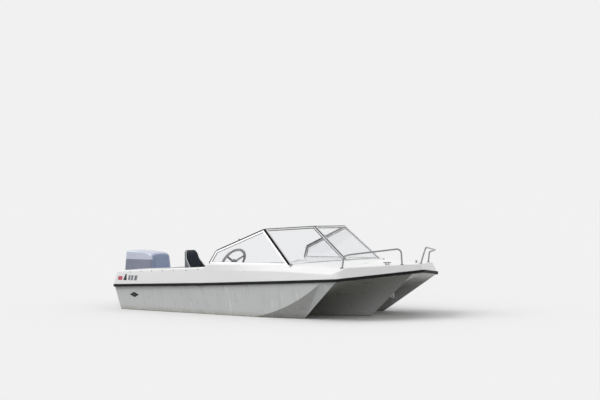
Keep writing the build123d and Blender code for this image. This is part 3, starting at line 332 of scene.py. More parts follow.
def tree_of(*meshes):
    """A tree of the surfaces of meshes, for laying things on them."""
    corners, faces = [], []
    for mesh in meshes:
        start = len(corners)
        corners += [v.co.copy() for v in mesh.vertices]
        faces += [[start + i for i in p.vertices] for p in mesh.polygons]
    return BVHTree.FromPolygons(corners, faces)


def surface_of(*names):
    """A tree of the surfaces of CAD nodes."""
    return tree_of(*(nodes[name].data for name in names))


def pressed(tree, point, direction):
    """Where a point, moved along a direction, meets the surface, and the surface's normal there.

    Both are None where it meets nothing.
    """
    direction = Vector(direction).normalized()
    hit, normal, _, _ = tree.ray_cast(Vector(point), direction)
    if hit is not None and normal.dot(direction) >= 0:
        normal = -normal
    return hit, normal


def at(point, normal, turn=0.0):
    """A place whose +Z is the normal, turned round it."""
    quat = Vector(normal).to_track_quat("Z", "Y")
    return Matrix.Translation(Vector(point)) @ quat.to_matrix().to_4x4() @ Matrix.Rotation(turn, 4, "Z")


def laid(form, tree, point, direction, sunk=0):
    """A form and its place for gather: on the surface that a point, moved along a direction, meets."""
    hit, normal = pressed(tree, point, direction)
    return form, at(hit - normal * sunk * MM, normal)


def moved(x, y, z):
    """A shift in millimetres."""
    return Matrix.Translation((x * MM, y * MM, z * MM))


def add_piece(name, mesh, slot, body, material=None, sharp=None):
    """A new object that rides on a body and takes its finish from a slot."""
    mesh.name = name
    mesh.polygons.foreach_set("use_smooth", [True] * len(mesh.polygons))
    if sharp is not None:
        mesh.set_sharp_from_angle(angle=radians(sharp))
    mesh.materials.append(material or finishes[slot])
    piece = bpy.data.objects.new(name, mesh)
    bpy.context.scene.collection.objects.link(piece)
    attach(piece, body)
    return piece


def gather(name, items, slot, body="hull", material=None, sharp=38):
    """One piece from several forms, each at its own place."""
    whole = bmesh.new()
    scratch = bpy.data.meshes.new("scratch")
    for form, place in items:
        form.to_mesh(scratch)
        scratch.transform(place)
        whole.from_mesh(scratch)
    bmesh.ops.recalc_face_normals(whole, faces=whole.faces)
    mesh = bpy.data.meshes.new(name)
    whole.to_mesh(mesh)
    whole.free()
    bpy.data.meshes.remove(scratch)
    return add_piece(name, mesh, slot, body, material, sharp)


def join_rings(form, rings):
    """Adds the faces between rings that follow each other. A ring may be a single point."""
    for low, high in zip(rings, rings[1:]):
        count = max(len(low), len(high))
        for i in range(count):
            j = (i + 1) % count
            foot = [low[i], low[j]] if len(low) > 1 else low
            head = [high[j], high[i]] if len(high) > 1 else high
            form.faces.new(foot + head)
    bmesh.ops.recalc_face_normals(form, faces=form.faces)


def turned(profile, sides=20, form=None):
    """A form turned round +Z from a profile of radius and height in mm. It can be added to another form."""
    form = form or bmesh.new()
    rings = []
    for radius, height in profile:
        angles = [2 * pi * i / sides for i in range(sides if radius else 1)]
        rings.append([form.verts.new((radius * MM * cos(a), radius * MM * sin(a), height * MM))
                      for a in angles])
    join_rings(form, rings)
    return form


def rounded_box(size, radius, segments=3):
    """A box in millimetres with its edges rounded, standing on its base's middle."""
    form = bmesh.new()
    bmesh.ops.create_cube(form, size=1)
    for v in form.verts:
        v.co = Vector((v.co.x * size[0], v.co.y * size[1], (v.co.z + 0.5) * size[2])) * MM
    bmesh.ops.bevel(form, geom=list(form.edges), offset=radius * MM, segments=segments, affect="EDGES",
                    profile=0.5)
    return form


def hexagon(across_flats, height, washer):
    """A bolt's head in millimetres, with its chamfer and a washer of the given radius."""
    r = across_flats / sqrt(3)
    form = turned([(0, height), (r * 0.8, height), (r, height - 0.12 * r), (r, 0), (0, 0)], 6)
    return turned([(0, 1.6), (washer * 0.96, 1.6), (washer, 1.2), (washer, -1), (0, -1)], 24, form)


def tube(points, radius, sides, closed=False):
    """A form of round bar along a line of points, in metres."""
    form = bmesh.new()
    count = len(points)
    rings = []
    normal = None
    for i, point in enumerate(points):
        ahead = points[(i + 1) % count] if closed else points[min(i + 1, count - 1)]
        behind = points[i - 1] if closed or i else point
        along = (ahead - behind).normalized()
        normal = along.orthogonal() if normal is None else normal - along * normal.dot(along)
        normal.normalize()
        across = along.cross(normal)
        turns = [2 * pi * j / sides for j in range(sides)]
        rings.append([form.verts.new(point + (normal * cos(a) + across * sin(a)) * radius)
                      for a in turns])
    join_rings(form, rings + rings[:1] if closed else rings)
    if not closed:
        form.faces.new(rings[0][::-1])
        form.faces.new(rings[-1])
        bmesh.ops.recalc_face_normals(form, faces=form.faces)
    return form


def lay_tube(name, line, radius, sides, slot, body="hull", closed=False):
    """A piece of round section along a line of points, with its radius in millimetres."""
    gather(name, [(tube(line, radius * MM, sides, closed), HERE)], slot, body, sharp=None)


def film(corners, direction, tree, thickness):
    """A thin film pressed on a surface, over four corners in order, with its thickness in millimetres."""
    a, b, c, d = (Vector(p) for p in corners)
    across = max(2, round(max((b - a).length, (c - d).length) / FILM_CELL))
    up = max(2, round(max((d - a).length, (c - b).length) / FILM_CELL))
    form = bmesh.new()

    def corner(i, j, lift):
        point = a.lerp(b, j / across).lerp(d.lerp(c, j / across), i / up)
        hit, normal = pressed(tree, point, direction)
        return form.verts.new(hit + normal * lift)

    top, low = ([[corner(i, j, lift) for j in range(across + 1)] for i in range(up + 1)]
                for lift in (thickness * MM, -thickness * MM))
    for i in range(up):
        for j in range(across):
            form.faces.new((top[i][j], top[i][j + 1], top[i + 1][j + 1], top[i + 1][j]))
            form.faces.new((low[i][j], low[i + 1][j], low[i + 1][j + 1], low[i][j + 1]))
    rim = [(0, j) for j in range(across)] + [(i, across) for i in range(up)]
    rim += [(up, j) for j in range(across, 0, -1)] + [(i, 0) for i in range(up, 0, -1)]
    for (i, j), (k, n) in zip(rim, rim[1:] + rim[:1]):
        form.faces.new((top[i][j], low[i][j], low[k][n], top[k][n]))
    bmesh.ops.recalc_face_normals(form, faces=form.faces)
    return form


def resampled(points, step, closed=False):
    """Points at even steps along a line of points."""
    line = [Vector(p) for p in points]
    if closed:
        line = line + line[:1]
    lengths = [(b - a).length for a, b in zip(line, line[1:])]
    total = sum(lengths)
    count = max(3, round(total / step))
    out, i, gone = [], 0, 0.0
    for k in range(count if closed else count + 1):
        target = total * k / count
        while i < len(lengths) - 1 and gone + lengths[i] < target:
            gone += lengths[i]
            i += 1
        out.append(line[i].lerp(line[i + 1], min(1, (target - gone) / max(lengths[i], 1e-9))))
    return out


def mirrored_on(points):
    """A line that ends on the centre plane, carried on over it as its own mirror image."""
    return points + [Vector((p.x, -p.y, p.z)) for p in points[-2::-1]]


def smoothed(points, times, closed=False):
    """A line of points with its corners eased."""
    for _ in range(times):
        count = len(points)
        eased = []
        for i, p in enumerate(points):
            if not closed and i in (0, count - 1):
                eased.append(p)
            else:
                eased.append(p * 0.5 + (points[i - 1] + points[(i + 1) % count]) * 0.25)
        points = eased
    return points


def face_rim(node, direction):
    """The outline of the part of a CAD node that faces a direction, as a closed line of points."""
    direction = Vector(direction).normalized()
    form = bmesh.new()
    form.from_mesh(nodes[node].data)
    bmesh.ops.remove_doubles(form, verts=form.verts, dist=1e-5)
    facing = [f for f in form.faces if f.normal.dot(direction) > 0.9]
    inside = set(facing)
    follows = {}
    for face in facing:
        for loop in face.loops:
            if sum(f in inside for f in loop.edge.link_faces) == 1:
                follows[loop.vert.index] = (loop.link_loop_next.vert.index, loop.vert.co.copy())
    # It starts at the point that is lowest in x, then y, then z, so each run gives the same line
    here = min(follows, key=lambda i: tuple(round(value, 4) for value in follows[i][1]))
    points = []
    while here in follows:
        here, point = follows.pop(here)
        points.append(point)
    form.free()
    return points


# Cushions: node, where it faces, shrink, voxel size and bulge in mm, channel spacing in mm, fill
CUSHIONS = [
    ("helm_seat_cushion", (0, 0, 1), 6, 6.0, 9, 400, 0.8),
    ("helm_seat_back_cushion", (1, 0, 0.25), 6, 6.0, 9, 400, 0.8),
    ("passenger_seat_cushion", (0, 0, 1), 8, 7.0, 9, 70, 0.75),
    ("aft_bench_cushion", (0, 0, 1), 8, 9.0, 9, 91, 0.75),
    ("aft_bench_back_cushion", (1, 0, 0), 8, 9.0, 8, 91, 0.75),
]
SHRINK_STEPS = 2
SIM_FRAMES = 18
SUNK = -0.6               # how far the hidden faces stay inside the CAD cushion, in mm
CHANNELS_ALONG = Vector((0, 1, 0))    # the way in which the channels follow each other
CHANNEL_WIDTH, CHANNEL_DEPTH = 6.0, 5.0
CHANNEL_MARGIN = 30.0     # nearer than this to the edge the channels fade out
CHANNEL_FACING = 0.3      # least share of the cushion's way that a channelled face looks
RIM_STEP = 12.0
WELT_RADIUS = 4.2
WELT_IN, WELT_LOW = 6.0, 3.0    # where the welt is sought: inside the rim and below it


def mesh_rows(mesh, what="co"):
    """The places or normals of a mesh's vertices, as rows of an array."""
    flat = np.empty(len(mesh.vertices) * 3)
    mesh.vertices.foreach_get(what, flat)
    return flat.reshape(-1, 3)


def move_rows(mesh, rows):
    """Puts a mesh's vertices at the places in the rows."""
    mesh.vertices.foreach_set("co", rows.ravel())
    mesh.update()


def baked(piece):
    """Gives the piece its mesh as its modifiers leave it."""
    mesh = bpy.data.meshes.new_from_object(piece.evaluated_get(bpy.context.evaluated_depsgraph_get()))
    piece.modifiers.clear()
    piece.data = mesh
    return mesh


def start_cushion(node, shrink, voxel):
    """A remeshed copy of a CAD cushion, a little smaller."""
    piece = bpy.data.objects.new(node + "_soft", nodes[node].data.copy())
    bpy.context.scene.collection.objects.link(piece)
    remesh = piece.modifiers.new("remesh", "REMESH")
    remesh.mode, remesh.voxel_size = "VOXEL", voxel * MM
    mesh = baked(piece)
    for _ in range(SHRINK_STEPS):
        move_rows(mesh, mesh_rows(mesh) - mesh_rows(mesh, "normal") * (shrink * MM / SHRINK_STEPS))
    return piece


def swell(pieces):
    """Blows the cushions up as cloth, all at once."""
    for piece in pieces:
        cloth = piece.modifiers.new("cloth", "CLOTH")
        settings = cloth.settings
        settings.quality = 4
        settings.mass = 0.3
        settings.tension_stiffness = settings.compression_stiffness = 12
        settings.shear_stiffness = 6
        settings.bending_stiffness = 0.4
        settings.use_pressure = True
        settings.uniform_pressure_force = 4.0
        settings.effector_weights.gravity = 0
        cloth.collision_settings.use_collision = False
        cloth.point_cache.frame_end = SIM_FRAMES
    scene = bpy.context.scene
    for number in range(1, SIM_FRAMES + 1):
        scene.frame_set(number)
    graph = bpy.context.evaluated_depsgraph_get()
    for piece in pieces:
        swollen = mesh_rows(piece.evaluated_get(graph).data)
        piece.modifiers.clear()
        move_rows(piece.data, swollen)
    scene.frame_set(1)


def hold_back(mesh, node, faces, bulge):
    """Caps how far a swollen cushion stands out of its CAD form, most of all where it is hidden."""
    hold = surface_of(node)
    rows = mesh_rows(mesh)
    for i, row in enumerate(rows):
        point = Vector(row)
        near, normal, _, _ = hold.find_nearest(point)
        most = (SUNK + (bulge - SUNK) * max(0.0, normal.dot(faces))) * MM
        if (point - near).dot(normal) > most:
            rows[i] = near + normal * most
    move_rows(mesh, rows)


def sew_channels(mesh, rim, middle, faces, spacing):
    """Presses evenly spaced channels into a cushion's face. A narrow cushion gets none."""
    places = [(p - middle).dot(CHANNELS_ALONG) for p in rim]
    first, last = min(places), max(places)
    count = round((last - first) / (spacing * MM))
    if count < 2:
        return
    pitch = (last - first) / count
    rows, normals = mesh_rows(mesh), mesh_rows(mesh, "normal")
    place = (rows - np.array(middle)) @ np.array(CHANNELS_ALONG) - first
    line = np.clip(np.round(place / pitch), 1, count - 1)
    away = np.abs(place - line * pitch) / MM
    edge = np.array([np.linalg.norm(rows - np.array(p), axis=1) for p in rim]).min(axis=0) / MM
    reach = np.clip(edge / CHANNEL_MARGIN, 0, 1) ** 2 * (normals @ np.array(faces) > CHANNEL_FACING)
    depth = CHANNEL_DEPTH * MM * np.exp(-(away / CHANNEL_WIDTH) ** 2) * reach
    move_rows(mesh, rows - depth[:, None] * np.array(faces))


def lay_welt(node, mesh, rim, middle, faces):
    """A round welt along the edge of the cushion's face."""
    skin = tree_of(mesh)
    seam = []
    for p in rim:
        inward = (middle - p) - faces * (middle - p).dot(faces)
        seam.append(skin.find_nearest(p + inward.normalized() * WELT_IN * MM - faces * WELT_LOW * MM)[0])
    lay_tube(node + "_welt", smoothed(seam, 3, closed=True), WELT_RADIUS, 8, "seat_vinyl", closed=True)


def finish_cushion(piece, node, faces, bulge, spacing):
    """Holds the swollen cushion in its place, sews it and gives it its vinyl."""
    faces = Vector(faces).normalized()
    hold_back(piece.data, node, faces, bulge)
    divide = piece.modifiers.new("refine", "SUBSURF")
    divide.levels = divide.render_levels = 1
    mesh = baked(piece)
    rim = smoothed(resampled(face_rim(node, faces), RIM_STEP * MM, closed=True), 3, closed=True)
    middle = sum(rim, Vector()) / len(rim)
    sew_channels(mesh, rim, middle, faces, spacing)
    mesh.polygons.foreach_set("use_smooth", [True] * len(mesh.polygons))
    mesh.materials.clear()
    mesh.materials.append(finishes["seat_vinyl"])
    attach(piece, "hull")
    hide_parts(node)
    lay_welt(node, mesh, rim, middle, faces)


def make_cushions():
    pieces = [start_cushion(node, shrink, voxel) for node, _, shrink, voxel, *_ in CUSHIONS]
    swell(pieces)
    for piece, (node, faces, _, _, bulge, spacing, fill) in zip(pieces, CUSHIONS):
        finish_cushion(piece, node, faces, bulge, spacing)


make_cushions()


# Fittings and trim, laid on the CAD surfaces
DECK = surface_of("deck")
HULL = surface_of("hull")
SIDES = (("starboard", -1), ("port", 1))
AFT, DOWN = Vector((-1, 0, 0)), Vector((0, 0, -1))
OUTSIDE = 2.0             # how far out to the side, or up, a probe of the boat starts

# Turned forms: radius and height in mm
STUD = [(0, 4.8), (2.8, 4.6), (3.7, 3.6), (3.2, 2.4), (5.6, 1.8), (7.4, 1.0), (7.8, 0.0), (7.8, -2),
        (0, -2)]
SCREW = [(0, 2.0), (1.6, 1.8), (3.0, 1.1), (3.8, 0.0), (3.8, -1.0), (0, -1.0)]
# Snap studs for a cover, along the gunwale: x, z
STUDS = [(0.384, 0.577), (0.639, 0.593), (0.889, 0.603), (1.148, 0.613), (1.391, 0.620), (1.685, 0.626),
         (1.952, 0.648)]


def screw(point, normal=(0, 0, 1)):
    """A screw's head and its place, for gather."""
    return turned(SCREW, 12), at(point, normal)


def make_studs():
    for side, sign in SIDES:
        items = [laid(turned(STUD), DECK, (x, OUTSIDE * sign, z), (0, -sign, 0)) for x, z in STUDS]
        gather(f"cover_studs_{side}", items, "rail_rubber")


# Plain marks on the deck's side near the stern, each with its colour: x from, x to, z from, z to, and
# how far forward the top of the after and the fore edge stands
MARKS = {
    "mark_red": ((0.56, 0.09, 0.14), [(0.095, 0.200, 0.451, 0.510, 0.006, 0.006)]),
    "mark_dark": ((0.02, 0.02, 0.025), [(0.226, 0.312, 0.452, 0.546, 0.046, -0.014)]),
    "mark_grey": ((0.20, 0.21, 0.23), [(0.346, 0.390, 0.454, 0.529, 0.010, 0.010),
                                       (0.408, 0.462, 0.454, 0.529, 0.010, 0.010),
                                       (0.492, 0.556, 0.454, 0.529, 0.010, 0.010)]),
}
MARK_FILM = 0.3
EMBLEM = (0.454, 0.2355, 0.108, 0.042)    # x, z, half length, half height
# The emblem's two films: share of its size, thickness in mm, colour
EMBLEM_FILMS = {"edge": (1.0, 0.6, (0.006, 0.006, 0.007)), "middle": (0.20, 1.1, (0.11, 0.115, 0.12))}


def side_film(corners, sign, tree, thickness):
    """A film on one side of the boat, over corners given as x and z, and its place."""
    return film([(x, OUTSIDE * sign, z) for x, z in corners], (0, -sign, 0), tree, thickness), HERE


def make_marks():
    for name, (colour, rows) in MARKS.items():
        material = painted(name, colour)
        for side, sign in SIDES:
            items = []
            for x0, x1, z0, z1, aft, fore in rows:
                corners = [(x0, z0), (x1, z0), (x1 + fore, z1), (x0 + aft, z1)]
                items.append(side_film(corners, sign, DECK, MARK_FILM))
            gather(f"{name}_{side}", items, "deck_gelcoat", material=material)
    x, z, long, high = EMBLEM
    for label, (share, thickness, colour) in EMBLEM_FILMS.items():
        material = painted(f"emblem_{label}", colour)
        corners = [(x - long * share, z), (x, z - high * share), (x + long * share, z), (x, z + high * share)]
        for side, sign in SIDES:
            items = [side_film(corners, sign, HULL, thickness)]
            gather(f"emblem_{label}_{side}", items, "hull_gelcoat", material=material)


# The screen's panes, and the way that each one looks
PANES = [("front_starboard", (1, -0.4, 0)), ("front_port", (1, 0.4, 0)), ("side_starboard", (0, -1, 0)),
         ("side_port", (0, 1, 0))]
FRAMES = surface_of(*(f"screen_frame_{place}_{side}" for place in ("side", "front") for side, _ in SIDES))
BEAD_STEP = 0.012
BEAD_RADIUS = 3.2
FRAME_MIDDLE, FRAME_RISE = 12.5, 8.5    # from the pane's edge to the frame's middle, and from face to face
FRAME_NEAR = 1.5          # no screw where the frame is further than this from the screw's place
SCREW_STEP = 0.17


def broad_side(node, hint):
    """The normal of a CAD node's largest face on one side."""
    near = [p for p in nodes[node].data.polygons if p.normal.dot(Vector(hint).normalized()) > 0.5]
    return max(near, key=lambda p: p.area).normal.copy()


def frame_screws(rim, normal):
    """The screws in the frame round one face of a pane."""
    spots = resampled(rim, SCREW_STEP, closed=True)
    middle = sum(rim, Vector()) / len(rim)
    screws = []
    for i, p in enumerate(spots):
        along = (spots[(i + 1) % len(spots)] - spots[i - 1]).normalized()
        outward = along.cross(normal)
        if outward.dot(p - middle) < 0:
            outward = -outward
        spot = p + outward * FRAME_MIDDLE * MM + normal * FRAME_RISE * MM
        place = FRAMES.find_nearest(spot)[0]
        if (place - spot).length < FRAME_NEAR * MM:
            screws.append(screw(place, normal))
    return screws


def make_screen_trim():
    """Rubber beads that hold the glass in its frames, and the frames' screws."""
    beads, screws = [], []
    for name, hint in PANES:
        node = "screen_pane_" + name
        out = broad_side(node, hint)
        for normal in (out, -out):
            rim = resampled(face_rim(node, normal), BEAD_STEP, closed=True)
            beads.append((tube(rim, BEAD_RADIUS * MM, 8, closed=True), HERE))
            screws += frame_screws(rim, normal)
    gather("screen_beads", beads, "gasket_rubber", sharp=None)
    gather("screen_screws", screws, "stainless")


# The windscreen's top line on one side: x, distance from the centre plane, z
SCREEN_TOP = [(2.175, 0.971, 0.745), (2.282, 0.923, 0.922), (3.190, 0.827, 1.227), (3.362, 0.0, 1.244)]
RUBBER_STEP = 0.02
RUBBER_RADIUS = 10.5
KNOB = [(0, 27), (6, 26), (9, 22), (8, 17), (4.5, 14), (4.5, 8), (8, 6), (9, 0), (0, 0)]
KNOB_AT = 0.485           # how far along the side pane's sloping top
KNOB_LEANS = (-0.31, 0.1, 0.94)    # the way up of the knob on the port side


def make_screen_rubber():
    """The black rubber section along the top of the panes, and a small knob on each side."""
    half = resampled([Vector((x, -y, z)) for x, y, z in SCREEN_TOP], RUBBER_STEP)
    lay_tube("screen_top_rubber", mirrored_on(smoothed(half, 2)), RUBBER_RADIUS, 12, "gasket_rubber")
    x, y, z = (a + (b - a) * KNOB_AT for a, b in zip(SCREEN_TOP[1], SCREEN_TOP[2]))
    up_x, up_y, up_z = KNOB_LEANS
    items = [(turned(KNOB), at((x, sign * y, z), (up_x, sign * up_y, up_z))) for _, sign in SIDES]
    gather("screen_knobs", items, "gasket_rubber")


POST_FEET = [(3.838, 0.948, 22), (4.020, 0.0, 0)]    # x, distance from the centre plane, turn in degrees
FOOT_SIZE, FOOT_EDGE = (34, 46, 9), 3
FOOT_SCREW = 15           # from the foot's middle


def make_post_feet():
    """Small metal feet at the screen's front corners and its middle, each with two screws."""
    items = []
    for x, y, turn in POST_FEET:
        for sign in ((-1, 1) if y else (1,)):
            hit, normal = pressed(DECK, (x, y * sign, OUTSIDE), DOWN)
            place = at(hit, normal, radians(turn * sign))
            items.append((rounded_box(FOOT_SIZE, FOOT_EDGE), place))
            for side in (-1, 1):
                items.append((turned(SCREW, 12), place @ moved(0, side * FOOT_SCREW, FOOT_SIZE[2])))
    gather("screen_post_feet", items, "stainless")


# The bow rails' feet and the cleats: x and distance from the centre plane
RAIL_FEET = [(4.743, 0.883), (5.200, 0.190)]
RAIL_SCREWS = 0.0185      # from the foot's middle to its three screws
CLEAT_AT, CLEAT_TURN = (5.030, 0.300), radians(90 - 30.64)
CLEAT_SCREWS = 26         # from the cleat's middle to each of its two screws, in mm
BASE_HEIGHT = 6           # of both above the deck, in mm


def make_foredeck_screws():
    for side, sign in SIDES:
        items = []
        for x, y in RAIL_FEET:
            centre, _ = pressed(DECK, (x, y * sign, OUTSIDE), DOWN)
            for i in range(3):
                angle = radians(120 * i + 30)
                spot = (x + RAIL_SCREWS * cos(angle), (y + RAIL_SCREWS * sin(angle)) * sign)
                items.append(screw((*spot, centre.z + BASE_HEIGHT * MM)))
        gather(f"bow_rail_screws_{side}", items, "stainless")
        centre, _ = pressed(DECK, (CLEAT_AT[0], CLEAT_AT[1] * sign, OUTSIDE), DOWN)
        along = Vector((cos(CLEAT_TURN * -sign), sin(CLEAT_TURN * -sign), 0))
        items = []
        for end in (-1, 1):
            spot = centre + along * end * CLEAT_SCREWS * MM
            items.append(screw((spot.x, spot.y, centre.z + BASE_HEIGHT * MM)))
        gather(f"bow_cleat_screws_{side}", items, "stainless")


# Rub rail: a round insert along its face. A line outside it, that is pressed back on it: x, y
RAIL_OUTSIDE = [(-0.10, -0.47), (-0.10, -1.02), (-0.02, -1.12), (4.80, -1.12), (4.95, -1.03), (5.46, -0.08),
                (5.47, 0.0)]
RAIL_STEP, INSERT_STEP = 0.025, 0.02
JOINT = [(-0.2, 0.358), (0, 0.366), (2.06, 0.436), (3.764, 0.509), (4.79, 0.556), (5.6, 0.673)]
INSERT_RADIUS = 6.0
INSERT_SUNK = 3.2         # how far its middle lies below the rail's face, in mm


def joint_height(x):
    """Height of the hull and deck joint at a station."""
    for (x0, z0), (x1, z1) in zip(JOINT, JOINT[1:]):
        if x <= x1:
            return z0 + (z1 - z0) * (x - x0) / (x1 - x0)
    return JOINT[-1][1]


def make_rail_insert():
    rail = surface_of("rub_rail")
    near = []
    for p in resampled([Vector((x, y, 0)) for x, y in RAIL_OUTSIDE], RAIL_STEP):
        probe = Vector((p.x, p.y, joint_height(p.x)))
        face = rail.find_nearest(probe)[0]
        near.append(face + (face - probe).normalized() * INSERT_SUNK * MM)
    half = smoothed(resampled(near, INSERT_STEP), 2)
    lay_tube("rub_rail_insert", mirrored_on(half), INSERT_RADIUS, 10, "rail_rubber")


# Helm seat's shell: its rim seen from the side, x and z, from the front of the wing up to the top
SEAT_RIM = [(1.752, 0.415), (1.778, 0.450), (1.720, 0.530), (1.540, 0.585), (1.405, 0.650), (1.288, 0.780),
            (1.256, 0.890)]
SEAT_Y = -0.525
BEADING_STEP = 0.012
BEADING_RADIUS = 6.5
BEADING_PROBE, BEADING_IN = 4, 5    # how far inside the rim and inside the shell's face, in mm


def make_seat_rim():
    """A pale beading along the edge of the helm seat's shell."""
    shell = surface_of("helm_seat_shell")
    points = resampled([Vector((x, 0, z)) for x, z in SEAT_RIM], BEADING_STEP)
    items = []
    for _, sign in SIDES:
        line = []
        for i, p in enumerate(points):
            along = (points[min(i + 1, len(points) - 1)] - points[max(i - 1, 0)]).normalized()
            probe = p + Vector((-along.z, 0, along.x)) * BEADING_PROBE * MM
            hit, _ = pressed(shell, (probe.x, SEAT_Y + 0.5 * sign, probe.z), (0, -sign, 0))
            if hit is not None:
                line.append(Vector((p.x, hit.y - sign * BEADING_IN * MM, p.z)))
        items.append((tube(smoothed(line, 4), BEADING_RADIUS * MM, 10), HERE))
    gather("helm_seat_beading", items, "seat_vinyl", material=welt_pale(), sharp=None)


# Gauges: y, radius in mm, needle's turn in degrees
GAUGES = [(-0.620, 42, -55), (-0.430, 42, 20), (-0.355, 30, -20)]
GAUGE_FACE_X, GAUGE_Z = 2.463, 0.628
TICKS, TICK_START, TICK_PITCH = 13, -132, 22    # count, first turn and pitch in degrees
TICK_LONG, TICK_SHORT = 6.5, 3.5
BOSS = [(0, 4.2), (3.0, 4.0), (4.0, 3.0), (4.0, 2.0), (0, 2.0)]
PANEL_FACE_X = 2.472
PANEL_SCREW_YS, PANEL_SCREW_ZS = (-0.664, -0.326), (0.471, 0.673)
SWITCH_YS = [-0.650, -0.622, -0.426, -0.398, -0.370, -0.342]
SWITCH_Z = 0.508
SWITCH_TILT = radians(9)
KEY_AT = (PANEL_FACE_X, -0.395, 0.560)
KEY_RING = [(0, 5), (7, 5), (9, 4), (13, 1.5), (14, -1), (0, -1)]


def make_gauges():
    """The dash's gauges: a bright ring, a dark dial with its marks, and a needle on its boss."""
    bezels, dials, marks, needles = [], [], [], []
    for y, r, turn in GAUGES:
        face = at((GAUGE_FACE_X, y, GAUGE_Z), AFT)
        ring = [(0, 1.2), (r - 5, 1.2), (r - 4, 3.4), (r - 1.5, 4.6), (r + 1.5, 3.2), (r + 2, -1), (0, -1)]
        bezels.append((turned(ring, 48), face))
        dials.append((turned([(0, 2.0), (r - 5, 2.0), (r - 5, 0.5), (0, 0.5)], 48), face))
        for i in range(TICKS):
            spin = Matrix.Rotation(radians(TICK_START + TICK_PITCH * i), 4, "Z")
            long = TICK_SHORT if i % 3 else TICK_LONG
            tick = spin @ moved(0, r - 8 - long / 2, 1.9)
            marks.append((rounded_box((1.2, long, 0.5), 0.15, 1), face @ tick))
        spin = Matrix.Rotation(radians(turn), 4, "Z")
        needles.append((rounded_box((1.5, (r - 12) * 1.25, 0.7), 0.2, 1),
                        face @ spin @ moved(0, (r - 12) * 0.375, 2.3)))
        needles.append((turned(BOSS), face))
    gather("gauge_bezels", bezels, "stainless")
    gather("gauge_dials", dials, "panel_plastic", material=painted("dial_black", (0.012, 0.012, 0.014)))
    gather("gauge_marks", marks, "panel_plastic", material=painted("dial_white", (0.75, 0.75, 0.72)))
    gather("gauge_needles", needles, "panel_plastic", material=painted("needle_orange", (0.75, 0.16, 0.03)))


def make_switches():
    """The dash's rocker switches, its key, and the panel's four screws."""
    plates, rockers = [], []
    for y in SWITCH_YS:
        place = at((PANEL_FACE_X, y, SWITCH_Z), AFT)
        plates.append((rounded_box((21, 36, 2.6), 1.2), place @ moved(0, 0, -0.6)))
        tipped = place @ moved(0, 0, 1) @ Matrix.Rotation(SWITCH_TILT, 4, "X")
        rockers.append((rounded_box((12, 24, 6.5), 2.2), tipped))
    key = at(KEY_AT, AFT)
    plates.append((turned(KEY_RING, 32), key))
    rockers.append((rounded_box((3, 17, 13), 1.2), key @ moved(0, 0, 4)))
    gather("switch_plates", plates, "panel_plastic")
    gather("switch_rockers", rockers, "control_plastic")
    screws = [screw((PANEL_FACE_X, y, z), AFT) for y in PANEL_SCREW_YS for z in PANEL_SCREW_ZS]
    gather("dash_screws", screws, "stainless")


WHEEL_AT, WHEEL_TILT = Vector((2.2, -0.525, 0.746)), radians(33)
WHEEL_RADIUS, GRIP_RADIUS = 0.206, 0.0195
GRIP_STARTS, GRIP_SWEEP, GRIP_STEPS = (100, 220, 340), 100, 40    # turns round the rim in degrees
PAD = [(0, 13), (12, 12.6), (24, 10.6), (32, 7.4), (36, 3.4), (37, -1), (0, -1)]
PAD_RING = [(0, 4), (38.5, 4), (40, 2.5), (40.5, -2), (0, -2)]


def make_wheel_trim():
    """The crowned pad on the wheel's hub with its ring, and three soft grips on the rim."""
    normal = Vector((-cos(WHEEL_TILT), 0, sin(WHEEL_TILT)))
    axes = Matrix((Vector((0, 1, 0)).cross(normal), (0, 1, 0), normal))
    face = Matrix.Translation(WHEEL_AT) @ axes.transposed().to_4x4()
    gather("wheel_pad", [(turned(PAD, 48), face @ moved(0, 0, 2))], "control_plastic", "steering_wheel",
           moulded_plastic("wheel_pad", (0.24, 0.27, 0.34), 0.4, 0.25))
    sleeves = []
    for start in GRIP_STARTS:
        turns = [radians(start + GRIP_SWEEP * i / GRIP_STEPS) for i in range(GRIP_STEPS + 1)]
        line = [face @ Vector((cos(a) * WHEEL_RADIUS, sin(a) * WHEEL_RADIUS, 0)) for a in turns]
        sleeves.append((tube(line, GRIP_RADIUS, 16), HERE))
    gather("wheel_grips", sleeves, "control_plastic", "steering_wheel", wheel_foam())
    ring = (turned(PAD_RING, 48), face @ moved(0, 0, 0.5))
    gather("wheel_ring", [ring], "stainless", "steering_wheel")


# The cowl's outer form, in metres: the CAD cowl's, with softer corners and a lid that turns down more
# at its front. Its seat and its size are the CAD's.
COWL_LOW, COWL_TOP = 0.4705, 0.875
COWL_AFT, COWL_FORE, COWL_HALF = -0.807, -0.035, 0.209
COWL_MIDDLE = Vector(((COWL_AFT + COWL_FORE) / 2, 0, 0))
COWL_CREST, COWL_CROWN, COWL_DROP = -0.580, 2.6, 0.024    # the lid's crest, its radius, its fall to a side
COWL_LEAN = tan(radians(6))
COWL_CORNER, CORNER_STEPS = 0.075, 14
COWL_STEP = 0.014
COWL_WALL = 0.005
# The shoulder's radius along the sides and at both ends, and how far from an end it starts to change
SHOULDER_SIDE, SHOULDER_FORE, SHOULDER_AFT = 0.030, 0.085, 0.034
FORE_BLEND, AFT_BLEND = 0.16, 0.12
BAND_GROOVE, BAND_WIDTH = 0.0016, 0.004
WALL_ROWS, SHOULDER_ROWS, LID_ROWS = 26, 12, 14
LID_EASE, LID_REACH = 1.15, 0.985    # closes the lid's rows up towards its middle, and stops them before it


def cowl_outline():
    """The cowl's foot seen from above, as evenly spaced points."""
    r = COWL_CORNER
    x0, x1, y1 = COWL_AFT + r, COWL_FORE - r, COWL_HALF - r
    points = []
    for x, y, start in ((x1, y1, 0), (x0, y1, 90), (x0, -y1, 180), (x1, -y1, 270)):
        for i in range(CORNER_STEPS + 1):
            a = radians(start + 90 * i / CORNER_STEPS)
            points.append(Vector((x + r * cos(a), y + r * sin(a), 0)))
    return resampled(points, COWL_STEP, closed=True)


